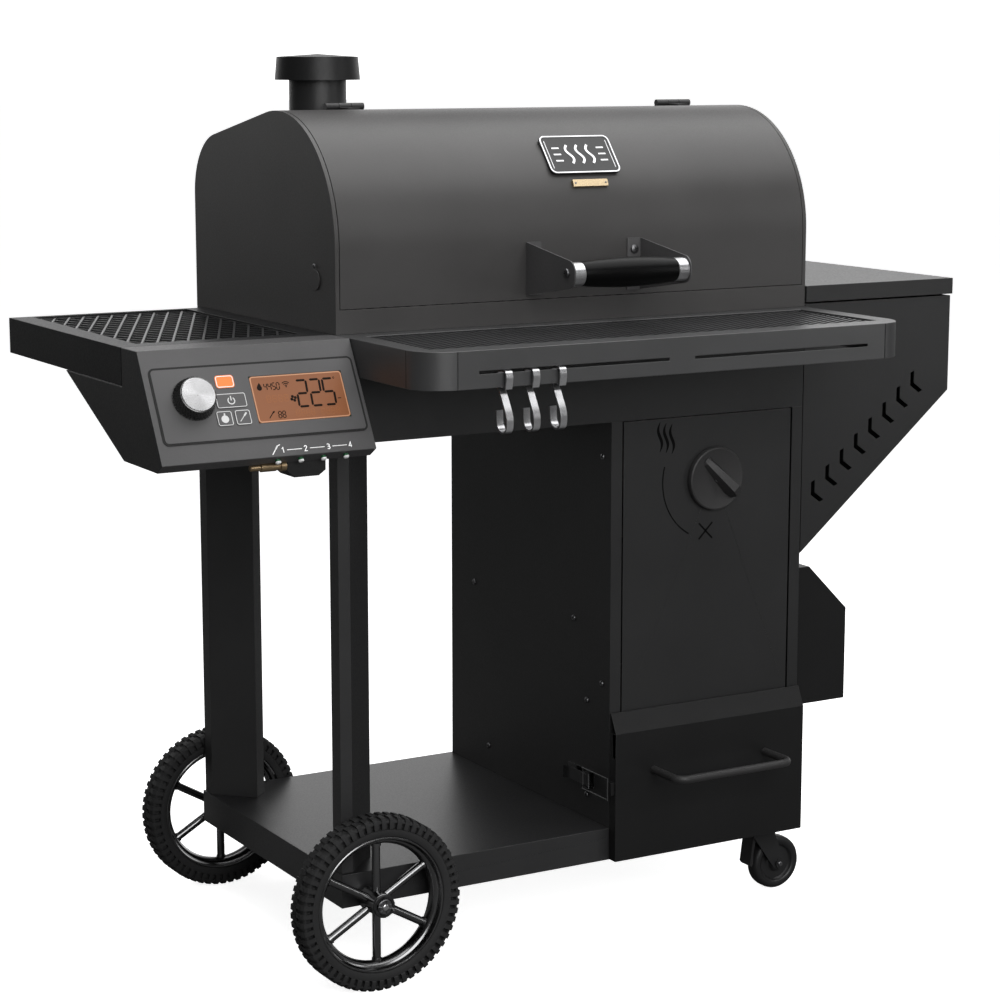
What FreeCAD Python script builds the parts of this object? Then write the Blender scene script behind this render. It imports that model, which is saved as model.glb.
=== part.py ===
import FreeCAD, Part
import math
import os
import Sketcher

# Wood-pellet grill and smoker on a four-wheeled cart.
#
# Everything is drawn in the cart's own axes: X runs from the hood's left end to its right,
# Y from the hood's front to its back, and Z up from the floor. The last step puts each
# sub-part at its Placement, which moves the origin to the middle of the footprint.

doc = FreeCAD.newDocument("PelletGrill")
sheet = doc.addObject("Spreadsheet::Sheet", "Dims")

# --- driving dimensions, in millimetres and degrees ----------------------------------

DIMENSIONS = {
    "gauge": 2,                # sheet steel of the cart and the cooking chamber
    "play": 0.05,              # radial clearance of every shaft in its bore
    "gap": 1,                  # clearance between a moving panel and its frame
    # cooking chamber
    "hood_length": 780,
    "hood_depth": 468,
    "shelf_top": 918,
    "tub_bottom": 768,
    "hood_apex": 333.35,       # sharp front corner of the hood's outline above the shelf
    "hood_fall": 0.1944,       # fall of the hood's back slope per millimetre of depth
    "hood_front_radius": 180,
    "hood_rear_radius": 90,
    "hood_rim": 6,             # width of the rolled rim at each end of the hood
    "lid_seam": 951,
    "lid_back": 214,
    "lid_return": 15,          # depth of the lid's folded edge
    "hinge_depth": 219,
    "hinge_height": 1216.5,
    "hinge_width": 60,
    "hinge_left": 95,
    "hinge_right": 655,
    "barrel_radius": 5,
    "hinge_pin_radius": 2.5,
    # chimney
    "chimney_x": 129,
    "chimney_y": 312,
    "pipe_radius": 41.5,
    "collar_radius": 54,
    "pipe_top": 1266,
    "cap_radius": 62,
    "cap_bottom": 1253,
    "cap_top": 1290,
    # lid handle and name plate
    "bracket_left": 296,
    "bracket_right": 485,
    "bracket_reach": 130,
    "grip_height": 995,
    "grip_reach": 113,
    "grip_radius": 20,
    "ferrule_radius": 16.5,
    # shelves
    "shelf_skirt": 50,
    "front_shelf_depth": 248,
    "shelf_corner": 50,
    "side_shelf_width": 303.5,
    "side_shelf_back": 440,
    "side_shelf_front": 11,
    "mesh_gauge": 2,
    "slot_height": 889,
    "slot_opening": 4,
    # controller
    "fascia_foot_y": -119,
    "fascia_foot_z": 780.4,
    "fascia_head_y": -42.4,
    "fascia_lean": 60.9,
    # hopper
    "hopper_right": 1059,
    "hopper_depth": 440,
    "hopper_tip": 543,
    "hopper_knee": 775,
    "hopper_rim": 922,
    "hopper_lid_bottom": 924.6,
    "hopper_lid_top": 949,
    # cart
    "base_top": 161.5,
    "base_bottom": 113,
    "base_depth": 483,
    "pedestal_left": 440,
    "pedestal_depth": 478,
    "panel_left": 461,
    "panel_right": 758,
    "panel_bottom": 338,
    "flange": 19,
    # burner
    "burner_x": 610,
    "burner_y": 240,
    "burner_half": 75,
    "burner_bottom": 560,
    "auger_height": 738,
    "auger_tube_radius": 28,
    "auger_radius": 24,
    "auger_start": 662,
    "auger_end": 932,
    "auger_pitch": 45,
    # smoke and sear knob
    "sear_x": 620,
    "sear_z": 672,
    "sear_radius": 47.5,
    # drawer
    "drawer_face": -18,
    "drawer_bottom": 114,
    "drawer_shoulder": 308,
    "drawer_head": 337,
    "drawer_handle_z": 246,
    "drawer_handle_reach": 68,
    "handle_rod_radius": 6,
    # cart wheels
    "wheel_radius": 125,
    "wheel_width": 41,
    "wheel_x": 39.4,
    "wheel_gap": 6.6,
    "axle_radius": 8,
    "rim_radius": 97,
    "rim_inner": 77,
    "hub_radius": 17,
    "spoke_radius": 6,
    # casters
    "caster_x": 749,
    "caster_inset": 53,
    "caster_trail": 30,
    "caster_radius": 42,
    "caster_width": 26,
    # draw latch
    "latch_z": 225,
    "latch_pivot_x": 433,
    "latch_pivot_y": 46,
    "bail_y": 58,
    # hooks
    "hook_first": 121,
    "hook_pitch": 40.5,
    "hook_width": 10,
    "hook_gauge": 2.4,
}


class Size:
    """A length that carries its value and the spreadsheet expression it comes from."""

    def __init__(self, value, text):
        self.value = float(value)
        self.text = text

    def __float__(self):
        return self.value

    def __add__(self, other):
        other = as_size(other)
        return Size(self.value + other.value, f"({self.text} + {other.text})")

    def __sub__(self, other):
        other = as_size(other)
        return Size(self.value - other.value, f"({self.text} - {other.text})")

    def __mul__(self, other):
        other = as_size(other)
        return Size(self.value * other.value, f"({self.text} * {other.text})")

    def __truediv__(self, other):
        other = as_size(other)
        return Size(self.value / other.value, f"({self.text} / {other.text})")

    def __neg__(self):
        return Size(-self.value, f"(0 - {self.text})")

    __radd__ = __add__
    __rmul__ = __mul__

    def __rsub__(self, other):
        return as_size(other) - self


def as_size(number):
    """A Size, made from a plain number if need be."""
    if isinstance(number, Size):
        return number
    return Size(number, repr(float(number)))


class Dims:
    """The spreadsheet's cells by name."""


dims = Dims()
for row, (alias, value) in enumerate(DIMENSIONS.items(), start=1):
    sheet.set(f"A{row}", alias)
    sheet.set(f"B{row}", str(value))
    sheet.setAlias(f"B{row}", alias)
    setattr(dims, alias, Size(value, f"Dims.{alias}"))
doc.recompute()

# --- drawing helpers ------------------------------------------------------------------

PLANES = {"X": "YZ_Plane", "Y": "XZ_Plane", "Z": "XY_Plane"}
NORMALS = {"X": (1, 0, 0), "Y": (0, 1, 0), "Z": (0, 0, 1)}
sub_parts = []


def bind(target, path, length):
    """Binds a property to the spreadsheet."""
    target.setExpression(path, as_size(length).text)


def new_body(label):
    """An empty PartDesign body that becomes one sub-part."""
    body = doc.addObject("PartDesign::Body", label)
    body.Label = label
    body.AllowCompound = True
    sub_parts.append((body, 0, 0, 0, 0))
    return body


def put(obj, x, y, z, lean=0):
    """Notes where a sub-part's own origin goes on the cart, and its turn about X."""
    for index, entry in enumerate(sub_parts):
        if entry[0] is obj:
            sub_parts[index] = (obj, x, y, z, lean)
            return
    sub_parts.append((obj, x, y, z, lean))


def fix_point(sketch, geometry, point, a, b):
    """Dimensions one sketch point from the sketch's origin."""
    for kind, length in (("DistanceX", a), ("DistanceY", b)):
        number = sketch.addConstraint(
            Sketcher.Constraint(kind, -1, 1, geometry, point, float(length)))
        sketch.setExpression(f"Constraints[{number}]", as_size(length).text)


def corner_arc(before, corner, after, radius):
    """Start, end, centre and turn direction of the arc that rounds one corner."""
    back = (before - corner).normalize()
    ahead = (after - corner).normalize()
    half = back.getAngle(ahead) / 2
    reach = radius / math.tan(half)
    middle = (back + ahead).normalize()
    centre = corner + middle * (radius / math.sin(half))
    turns_left = back.cross(ahead).z < 0
    return corner + back * reach, corner + ahead * reach, centre, turns_left


def draw_outline(sketch, corners, closed=True):
    """Straight edges through the corners; a third value rounds that corner."""
    points = [FreeCAD.Vector(float(c[0]), float(c[1]), 0) for c in corners]
    count = len(points)
    starts = list(points)
    ends = list(points)
    arcs = {}
    for i, corner in enumerate(corners):
        if len(corner) > 2:
            start, end, centre, left = corner_arc(
                points[i - 1], points[i], points[(i + 1) % count], float(corner[2]))
            ends[i], starts[i] = start, end
            arcs[i] = (start, end, centre, left)
    edge_count = count if closed else count - 1
    lines = []
    for i in range(edge_count):
        line = Part.LineSegment(starts[i], ends[(i + 1) % count])
        lines.append(sketch.addGeometry(line, False))
    for i, corner in enumerate(corners):
        incoming = lines[i - 1] if (closed or i > 0) else None
        outgoing = lines[i] if i < edge_count else None
        if i not in arcs:
            if incoming is not None and outgoing is not None:
                sketch.addConstraint(Sketcher.Constraint("Coincident", incoming, 2, outgoing, 1))
            if outgoing is not None:
                fix_point(sketch, outgoing, 1, corner[0], corner[1])
            else:
                fix_point(sketch, incoming, 2, corner[0], corner[1])
            continue
        start, end, centre, left = arcs[i]
        first, last = (start, end) if left else (end, start)
        angles = [math.atan2(p.y - centre.y, p.x - centre.x) for p in (first, last)]
        circle = Part.Circle(centre, FreeCAD.Vector(0, 0, 1), float(corner[2]))
        arc = sketch.addGeometry(Part.ArcOfCircle(circle, angles[0], angles[1]), False)
        near, far = (1, 2) if left else (2, 1)
        sketch.addConstraint(Sketcher.Constraint("Tangent", incoming, 2, arc, near))
        sketch.addConstraint(Sketcher.Constraint("Tangent", arc, far, outgoing, 1))
        number = sketch.addConstraint(Sketcher.Constraint("Radius", arc, float(corner[2])))
        sketch.setExpression(f"Constraints[{number}]", as_size(corner[2]).text)
        point = sketch.addGeometry(Part.Point(points[i]), True)
        fix_point(sketch, point, 1, corner[0], corner[1])
        sketch.addConstraint(Sketcher.Constraint("PointOnObject", point, 1, incoming))
        sketch.addConstraint(Sketcher.Constraint("PointOnObject", point, 1, outgoing))


def draw_circle(sketch, a, b, radius):
    """A dimensioned circle."""
    centre = FreeCAD.Vector(float(a), float(b), 0)
    circle = sketch.addGeometry(
        Part.Circle(centre, FreeCAD.Vector(0, 0, 1), float(radius)), False)
    fix_point(sketch, circle, 3, a, b)
    number = sketch.addConstraint(Sketcher.Constraint("Radius", circle, float(radius)))
    sketch.setExpression(f"Constraints[{number}]", as_size(radius).text)


def new_sketch(body, axis, height, outlines=(), circles=(), path=None):
    """A sketch square to an axis, at a height along it."""
    plane = next(f for f in body.Origin.OriginFeatures if f.Role == PLANES[axis])
    sketch = body.newObject("Sketcher::SketchObject", "Sketch")
    sketch.AttachmentSupport = (plane, "")
    sketch.MapMode = "FlatFace"
    level = -as_size(height) if axis == "Y" else as_size(height)
    sketch.setExpression("AttachmentOffset.Base.z", level.text)
    for outline in outlines:
        draw_outline(sketch, outline)
    for circle in circles:
        draw_circle(sketch, *circle)
    if path:
        draw_outline(sketch, path, closed=False)
    return sketch


def pad(body, axis, start, length, outlines=(), circles=()):
    """Adds a prism that runs from start, along the axis, for a length."""
    feature = body.newObject("PartDesign::Pad", "Pad")
    feature.Profile = new_sketch(body, axis, start, outlines, circles)
    bind(feature, "Length", length)
    feature.Reversed = axis == "Y"
    return feature


def cut(body, axis, start, length, outlines=(), circles=()):
    """Removes a prism that runs from start, along the axis, for a length."""
    feature = body.newObject("PartDesign::Pocket", "Pocket")
    feature.Profile = new_sketch(body, axis, start, outlines, circles)
    bind(feature, "Length", length)
    feature.Reversed = axis != "Y"
    return feature


def revolve(body, outline, about):
    """Turns an XZ outline about one of the body's own axes."""
    plane_axis = "X" if about == "Y" else "Y"
    axis = next(f for f in body.Origin.OriginFeatures if f.Role == f"{about}_Axis")
    feature = body.newObject("PartDesign::Revolution", "Revolution")
    feature.Profile = new_sketch(body, plane_axis, 0, [outline])
    feature.ReferenceAxis = (axis, [""])
    feature.Angle = 360
    return feature


def polar(body, features, about, count):
    """Repeats features round one of the body's own axes."""
    axis = next(f for f in body.Origin.OriginFeatures if f.Role == f"{about}_Axis")
    pattern = body.newObject("PartDesign::PolarPattern", "PolarPattern")
    pattern.Originals = features
    pattern.Axis = (axis, [""])
    pattern.Angle = 360
    pattern.Occurrences = count
    body.Tip = pattern
    return pattern


def bent_rod(body, axis, height, path, profile_axis, profile_height, outlines=(), circles=()):
    """Sweeps a section along a path that is drawn square to an axis."""
    spine = new_sketch(body, axis, height, path=path)
    feature = body.newObject("PartDesign::AdditivePipe", "Pipe")
    feature.Profile = new_sketch(body, profile_axis, profile_height, outlines, circles)
    doc.recompute()
    feature.Spine = (spine, [f"Edge{i + 1}" for i in range(len(spine.Shape.Edges))])
    return feature


def rectangle(a_low, a_high, b_low, b_high, radius=None):
    """The corners of a rectangle, rounded if a radius is given."""
    corners = [(a_low, b_low), (a_high, b_low), (a_high, b_high), (a_low, b_high)]
    if radius is None:
        return corners
    return [corner + (radius,) for corner in corners]


# --- outlines that several sub-parts share --------------------------------------------

def hood_outline(inset, bottom):
    """The hood's end view in Y and Z, moved inwards by inset, down to a bottom height."""
    inset = as_size(inset)
    lean = math.sqrt(1 + float(dims.hood_fall) ** 2)
    apex = dims.shelf_top + dims.hood_apex
    rear = dims.hood_depth - inset
    front_corner = apex - dims.hood_fall * inset - inset * lean
    rear_corner = apex - dims.hood_fall * rear - inset * lean
    return [
        (inset, bottom),
        (rear, bottom),
        (rear, rear_corner, dims.hood_rear_radius - inset),
        (inset, front_corner, dims.hood_front_radius - inset),
    ]


def hood_surface(depth):
    """Height of the hood's back slope at a depth."""
    return dims.shelf_top + dims.hood_apex - dims.hood_fall * depth


# --- hood and cooking chamber -----------------------------------------------------------

def make_hood_shell():
    """Fixed ends, rear sheet and front sill, welded into one shell."""
    d = dims
    body = new_body("hood_shell")
    pad(body, "X", 0, d.hood_length, [hood_outline(0, d.shelf_top)])
    inside = hood_outline(d.gauge, d.shelf_top - 1)
    cut(body, "X", d.gauge, d.hood_length - 2 * d.gauge, [inside])
    mouth = rectangle(-10, d.lid_back + d.gap, d.lid_seam, d.shelf_top + d.hood_apex)
    cut(body, "X", d.hood_rim, d.hood_length - 2 * d.hood_rim, [mouth])
    cut(body, "Z", d.shelf_top + 150, 200, circles=[(d.chimney_x, d.chimney_y,
                                                     d.pipe_radius - d.gauge)])
    port = (60, d.lid_seam + 37, 12)
    cut(body, "X", -1, d.gauge + 2, circles=[port])


def make_tub():
    """Lower half of the cooking chamber, open at the top and over the burner."""
    d = dims
    body = new_body("cook_tub")
    footprint = rectangle(0, d.hood_length, 0, d.hood_depth)
    pad(body, "Z", d.tub_bottom, d.shelf_top - d.tub_bottom, [footprint])
    inside = rectangle(d.gauge, d.hood_length - d.gauge, d.gauge, d.hood_depth - d.gauge)
    cut(body, "Z", d.tub_bottom + d.gauge, d.shelf_top - d.tub_bottom, [inside])
    half = d.burner_half - 5
    throat = rectangle(d.burner_x - half, d.burner_x + half, d.burner_y - half, d.burner_y + half)
    cut(body, "Z", d.tub_bottom - 1, d.gauge + 2, [throat])


def make_lid():
    """Curved lid sheet with folded ends."""
    d = dims
    body = new_body("lid_shell")
    left = d.hood_rim + d.gap
    width = d.hood_length - 2 * left
    low = d.lid_seam + d.gap
    pad(body, "X", left, width, [hood_outline(0, low)])
    cut(body, "X", left + d.gauge, width - 2 * d.gauge, [hood_outline(d.gauge, low - 1)])
    cut(body, "X", left - 1, width + 2, [hood_outline(d.gauge + d.lid_return, low - 1)])
    behind = rectangle(d.lid_back, d.hood_depth + 1, low - 1, d.shelf_top + d.hood_apex)
    cut(body, "X", left - 1, width + 2, [behind])
    hem = rectangle(d.gauge / 2, d.gauge + d.lid_return, low, low + d.gauge)
    pad(body, "X", left + d.gauge / 2, width - d.gauge, [hem])


def hinge_lefts():
    """Left edge of each lid hinge."""
    return (dims.hinge_left, dims.hinge_right)


def make_hinges():
    """Two fixed leaves with their pins, and the two leaves that ride on the lid."""
    d = dims
    side = d.hinge_width / 3
    centre = (d.hinge_depth, d.hinge_height)
    leaf_front = d.lid_back + 2 * d.gap
    leaf_back = leaf_front + 32
    leaf = [
        (leaf_front, hood_surface(leaf_front)),
        (leaf_back, hood_surface(leaf_back)),
        (leaf_back, hood_surface(leaf_back) + d.gauge),
        (leaf_front, hood_surface(leaf_front) + d.gauge),
    ]
    fixed = new_body("hinge_leaves_fixed")
    moving = new_body("hinge_leaves_lid")
    crown = d.shelf_top + d.hood_apex - 38.35
    for left in hinge_lefts():
        pad(fixed, "X", left, d.hinge_width, [leaf])
        for start in (left, left + 2 * side):
            web = rectangle(d.hinge_depth - 1, d.hinge_depth + 4,
                            hood_surface(leaf_front), d.hinge_height)
            pad(fixed, "X", start, side, [web])
            pad(fixed, "X", start, side, circles=[centre + (d.barrel_radius,)])
        pad(fixed, "X", left, d.hinge_width, circles=[centre + (d.hinge_pin_radius,)])
        plate = rectangle(d.lid_back - 26, d.hinge_depth - 3, crown, crown + d.gauge)
        pad(moving, "X", left + side + 0.5, side - 1, [plate])
        pad(moving, "X", left + side + 0.5, side - 1, circles=[centre + (d.barrel_radius,)])
        cut(moving, "X", left + side, side, circles=[centre + (d.hinge_pin_radius + d.play,)])


def make_lid_handle():
    """Bent brackets with folded feet, a turned grip with ferrules, and a name plate."""
    d = dims
    brackets = new_body("lid_handle_brackets")
    root_top = d.grip_height + 37
    root_bottom = d.grip_height - 37
    nose = 17
    side_view = [
        (0, root_bottom),
        (0, root_top),
        (-d.bracket_reach, d.grip_height + nose, nose - 0.5),
        (-d.bracket_reach, d.grip_height - nose, nose - 0.5),
    ]
    foot_width = 22
    for left, foot_left in ((d.bracket_left, d.bracket_left + 1),
                            (d.bracket_right, d.bracket_right - foot_width)):
        pad(brackets, "X", left, d.gauge, [side_view])
        foot = rectangle(foot_left, foot_left + foot_width + 1, root_bottom, root_top)
        pad(brackets, "Y", -d.gauge, d.gauge, [foot])
    grip = new_body("lid_grip")
    put(grip, d.bracket_left + d.gauge, -d.grip_reach, d.grip_height)
    span = d.bracket_right - d.bracket_left - d.gauge
    collar = 17
    half_view = [
        (0, 0),
        (span, 0),
        (span, d.ferrule_radius),
        (span - collar, d.ferrule_radius),
        (span * 0.7, d.grip_radius),
        (span * 0.3, d.grip_radius),
        (collar, d.ferrule_radius),
        (0, d.ferrule_radius),
    ]
    revolve(grip, half_view, "X")
    plate = new_body("name_plate")
    put(plate, 407.6, 41.5, 1148, 50.3)
    pad(plate, "Z", 0, 3, [rectangle(-58, 58, -33, 33, 9)])


def make_chimney():
    """Flanged stack pipe with a cross bar, and a rain cap that screws up and down on it."""
    d = dims
    centre = (d.chimney_x, d.chimney_y)
    foot = d.shelf_top + 200
    pipe = new_body("chimney_pipe")
    pad(pipe, "Z", foot, 90, circles=[centre + (d.collar_radius,)])
    collar_top = [
        (200, hood_surface(200) + 3),
        (440, hood_surface(440) + 3),
        (440, d.cap_top),
        (200, d.cap_top),
    ]
    cut(pipe, "X", d.chimney_x - d.collar_radius - 1, 2 * d.collar_radius + 2, [collar_top])
    pad(pipe, "Z", foot, d.pipe_top - foot, circles=[centre + (d.pipe_radius,)])
    under = hood_outline(0, foot - 10)
    cut(pipe, "X", d.chimney_x - d.collar_radius - 1, 2 * d.collar_radius + 2, [under])
    cut(pipe, "Z", foot - 1, 300, circles=[centre + (d.pipe_radius - d.gauge,)])
    reach = d.pipe_radius - 1
    bar = rectangle(d.chimney_x - reach, d.chimney_x + reach, d.chimney_y - 6, d.chimney_y + 6)
    pad(pipe, "Z", 1225, 3, [bar])
    cut(pipe, "Z", 1220, 20, circles=[centre + (4 + d.play,)])

    cap = new_body("chimney_cap")
    put(cap, d.chimney_x, d.chimney_y, 0)
    wall = 2
    half_view = [
        (0, 1212),
        (4, 1212),
        (4, d.cap_top - 6 - wall),
        (d.cap_radius - 3 - wall, d.cap_top - 6 - wall),
        (d.cap_radius - wall, d.cap_bottom),
        (d.cap_radius, d.cap_bottom),
        (d.cap_radius - 3, d.cap_top - 4),
        (0, d.cap_top),
    ]
    revolve(cap, half_view, "Z")


def make_inner_plates():
    """Grates, drip tray and heat deflector inside the chamber."""
    d = dims
    grates = new_body("cooking_grates")
    level = 903
    for left in (10, 392):
        pad(grates, "Z", level, 6, [rectangle(left, left + 378, 10, 458)])
        slots = [rectangle(left + 12 + 22 * i, left + 24 + 22 * i, 26, 442) for i in range(16)]
        cut(grates, "Z", level - 1, 8, slots)
    tray = new_body("drip_tray")
    pad(tray, "X", 14, 752, [[(14, 872), (454, 862), (454, 876), (452, 876), (452, 864.1),
                              (16, 874.1), (16, 886), (14, 886)]])
    deflector = new_body("heat_deflector")
    roof = [
        (d.burner_y - 110, 808),
        (d.burner_y, 828),
        (d.burner_y + 110, 808),
        (d.burner_y + 110, 810),
        (d.burner_y, 830),
        (d.burner_y - 110, 810),
    ]
    pad(deflector, "X", d.burner_x - 120, 240, [roof])
    for side in (-110, 90):
        for end in (-118, 98):
            leg = rectangle(d.burner_x + end, d.burner_x + end + 20,
                            d.burner_y + side, d.burner_y + side + 20)
            pad(deflector, "Z", d.tub_bottom + d.gauge, 39, [leg])


# --- shelves --------------------------------------------------------------------------------

def make_front_shelf():
    """Folded frame with rounded front corners and two long hook slots."""
    d = dims
    low = d.shelf_top - d.shelf_skirt
    front = -d.front_shelf_depth
    body = new_body("front_shelf_frame")

    def plan(inset):
        corner = d.shelf_corner - inset
        return [
            (0 + as_size(inset), front + inset, corner),
            (d.hood_length - inset, front + inset, corner),
            (d.hood_length - inset, 0 - as_size(inset)),
            (0 + as_size(inset), 0 - as_size(inset)),
        ]

    pad(body, "Z", low, d.shelf_skirt, [plan(0)])
    cut(body, "Z", low - 1, d.shelf_skirt - d.gauge + 1, [plan(d.gauge)])
    window = rectangle(30, d.hood_length - 30, front + 38, -30)
    cut(body, "Z", d.shelf_top - 5, 10, [window])
    for left, right in ((81, 373), (414, 705)):
        slot = rectangle(left, right, d.slot_height - d.slot_opening / 2,
                         d.slot_height + d.slot_opening / 2)
        cut(body, "Y", front - 1, d.gauge + 2, [slot])


def make_side_shelf():
    """Left shelf frame."""
    d = dims
    body = new_body("side_shelf_frame")
    low = d.shelf_top - d.shelf_skirt
    pad(body, "Z", low, d.shelf_skirt,
        [rectangle(-d.side_shelf_width, -d.gap, d.side_shelf_front, d.side_shelf_back)])
    cut(body, "Z", low - 1, d.shelf_skirt - d.gauge + 1,
        [rectangle(-d.side_shelf_width + d.gauge, -d.gap - d.gauge,
                   d.side_shelf_front + d.gauge, d.side_shelf_back - d.gauge)])
    cut(body, "Z", d.shelf_top - 5, 10, [rectangle(-270, -34, 42, 428)])


def mesh_solid(left, right, front, back, columns, rows):
    """Expanded-metal sheet with diamond openings in staggered rows.

    It is one face with many inner wires, extruded, because a sketch of this many openings
    would take minutes to solve.
    """
    d = dims
    level = float(d.shelf_top - d.gauge - d.mesh_gauge)
    border = 7
    pitch_x = (right - left - 2 * border) / columns
    pitch_y = (back - front - 2 * border) / rows
    half_x = pitch_x / 2 - 2
    half_y = pitch_y / 2 - 1.6

    def closed_wire(points):
        return Part.makePolygon([FreeCAD.Vector(x, y, level) for x, y in points + points[:1]])

    wires = [closed_wire(rectangle(left, right, front, back))]
    for row_number in range(rows):
        stagger = 0.5 * (row_number % 2)
        for column in range(columns - row_number % 2):
            x = left + border + pitch_x * (column + 0.5 + stagger)
            y = front + border + pitch_y * (row_number + 0.5)
            wires.append(closed_wire(
                [(x - half_x, y), (x, y - half_y), (x + half_x, y), (x, y + half_y)]))
    face = Part.makeFace(wires, "Part::FaceMakerBullseye")
    return face.extrude(FreeCAD.Vector(0, 0, float(d.mesh_gauge)))


def make_meshes():
    """The two shelf sheets."""
    sheets = [
        mesh_solid(-272, -32, 40, 430, 6, 19),
        mesh_solid(28, 752, -212, -28, 18, 9),
    ]
    meshes = doc.addObject("Part::Feature", "shelf_meshes")
    meshes.Label = "shelf_meshes"
    meshes.Shape = Part.makeCompound(sheets)
    put(meshes, 0, 0, 0)


def make_hooks():
    """S-hooks of flat strip: each hangs through the shelf's slot."""
    d = dims
    front = -d.front_shelf_depth
    half = d.hook_width / 2
    path = [
        (front - 3.5, 865),
        (front - 3.5, d.slot_height, 4),
        (front + 17, d.slot_height, 6),
        (front + 17, 866, 18),
        (front - 8, 834, 9),
        (front - 8, 810.5, 9),
        (front + 17, 810.5, 9),
        (front + 19, 837),
    ]
    for number in range(3):
        hook = new_body(f"utensil_hook_{number + 1}")
        put(hook, d.hook_first + d.hook_pitch * number, 0, 0)
        section = rectangle(-half, half, front - 3.5 - d.hook_gauge / 2,
                            front - 3.5 + d.hook_gauge / 2)
        bent_rod(hook, "X", 0, path, "Z", 865, [section])


# --- controller ---------------------------------------------------------------------------------

def controller_outline(inset):
    """End view of the controller housing in Y and Z; inset is used for its hollow."""
    d = dims
    i = as_size(inset)
    low = d.shelf_top - d.shelf_skirt - 1
    return [
        (d.fascia_foot_y + 1.25 * i, d.fascia_foot_z + 0.6 * i),
        (-101 + 0.3 * i, 769 + i),
        (10 - 0.22 * i, 769.5 + i),
        (215 - 3.5 * i, low - i),
        (10 - i, low - i),
        (10 - i, d.shelf_top - i),
        (d.fascia_head_y + 0.57 * i, d.shelf_top - i),
    ]


def make_controller():
    """Housing with a leaning fascia, its plate, screen, knob, buttons and board."""
    d = dims
    left = -d.side_shelf_width
    shell = doc.addObject("PartDesign::Body", "ControllerShell")
    pad(shell, "X", left, d.side_shelf_width - d.gap, [controller_outline(0)])
    cut(shell, "X", left + d.gauge, d.side_shelf_width, [controller_outline(d.gauge)])
    window = doc.addObject("Part::Box", "ControllerWindow")
    for path, length in (("Length", 274), ("Width", 92), ("Height", 12)):
        bind(window, path, length)
    turn = FreeCAD.Rotation(FreeCAD.Vector(1, 0, 0), float(d.fascia_lean))
    foot = FreeCAD.Vector(0, float(d.fascia_foot_y), float(d.fascia_foot_z))
    window.Placement = FreeCAD.Placement(foot + turn.multVec(FreeCAD.Vector(-287.5, 33, -6)), turn)
    tools = [window]
    sockets = (-139.8, -107.2, -74.6, -42)
    for number, x in enumerate(sockets):
        bore = doc.addObject("Part::Cylinder", f"SocketBore{number + 1}")
        bind(bore, "Radius", 3.6)
        bind(bore, "Height", 16)
        along = FreeCAD.Rotation(FreeCAD.Vector(1, 0, 0), float(d.fascia_lean) - 90)
        start = foot + turn.multVec(FreeCAD.Vector(x, -8, -10.5))
        bore.Placement = FreeCAD.Placement(start, along)
        tools.append(bore)
    fused = doc.addObject("Part::MultiFuse", "ControllerOpenings")
    fused.Shapes = tools
    housing = doc.addObject("Part::Cut", "controller_housing")
    housing.Base = shell
    housing.Tool = fused
    housing.Label = "controller_housing"
    put(housing, 0, 0, 0)

    plate = leaning_body("controller_faceplate")
    pad(plate, "Z", 0, 1.6, [rectangle(-292, -9, 29, 129.5, 5)])
    cut(plate, "Z", -1, 4, [rectangle(-159.5, -26.5, 47, 112.5)])
    cut(plate, "Z", -1, 4, circles=[(-242, 85.5, 4)])
    for _, low_x, high_x, low_y, high_y in BUTTONS:
        cut(plate, "Z", -1, 4, [rectangle(low_x, high_x, low_y, high_y, 3)])

    screen = leaning_body("display_lens")
    pad(screen, "Z", -2, 3.4, [rectangle(-159.2, -26.8, 47.3, 112.2)])

    for label, low_x, high_x, low_y, high_y in BUTTONS:
        button = leaning_body(label)
        play = 0.3
        pad(button, "Z", -1.5, 4.3,
            [rectangle(low_x + play, high_x - play, low_y + play, high_y - play, 2.7)])
        pad(button, "Z", -3, 2, [rectangle(low_x + 5, high_x - 5, low_y + 5, high_y - 5)])

    knob = leaning_body("control_knob")
    place_x = -242
    place_y = 85.5
    pad(knob, "Z", 2.2, 3.2, circles=[(place_x, place_y, 29.5)])
    pad(knob, "Z", 4, 16, circles=[(place_x, place_y, 25.5)])
    pad(knob, "Z", 19, 2.5, circles=[(place_x, place_y, 22.5)])
    pad(knob, "Z", -9, 12, circles=[(place_x, place_y, 3.2)])

    board = leaning_body("control_board")
    pad(board, "Z", -14, 1.6, [rectangle(-285, -15, 14, 122)])
    pad(board, "Z", -12.5, 3.2, circles=[(place_x, place_y, 7)])
    cut(board, "Z", -11, 3, circles=[(place_x, place_y, 3.2 + 0.1)])
    for x in sockets:
        pad(board, "Y", -3, 18, circles=[(x, -10.5, 3.4)])
        cut(board, "Y", -4, 12, circles=[(x, -10.5, 1.4)])


BUTTONS = (
    ("power_button", -212, -170, 71, 91),
    ("timer_button", -216, -194.5, 47, 67),
    ("probe_button", -190.5, -169, 47, 67),
)


def leaning_body(label):
    """A body drawn on the fascia: X along it, Y up it, Z out of it."""
    body = new_body(label)
    put(body, 0, dims.fascia_foot_y, dims.fascia_foot_z, dims.fascia_lean)
    return body


# --- pellet hopper and feed ----------------------------------------------------------------------

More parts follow.
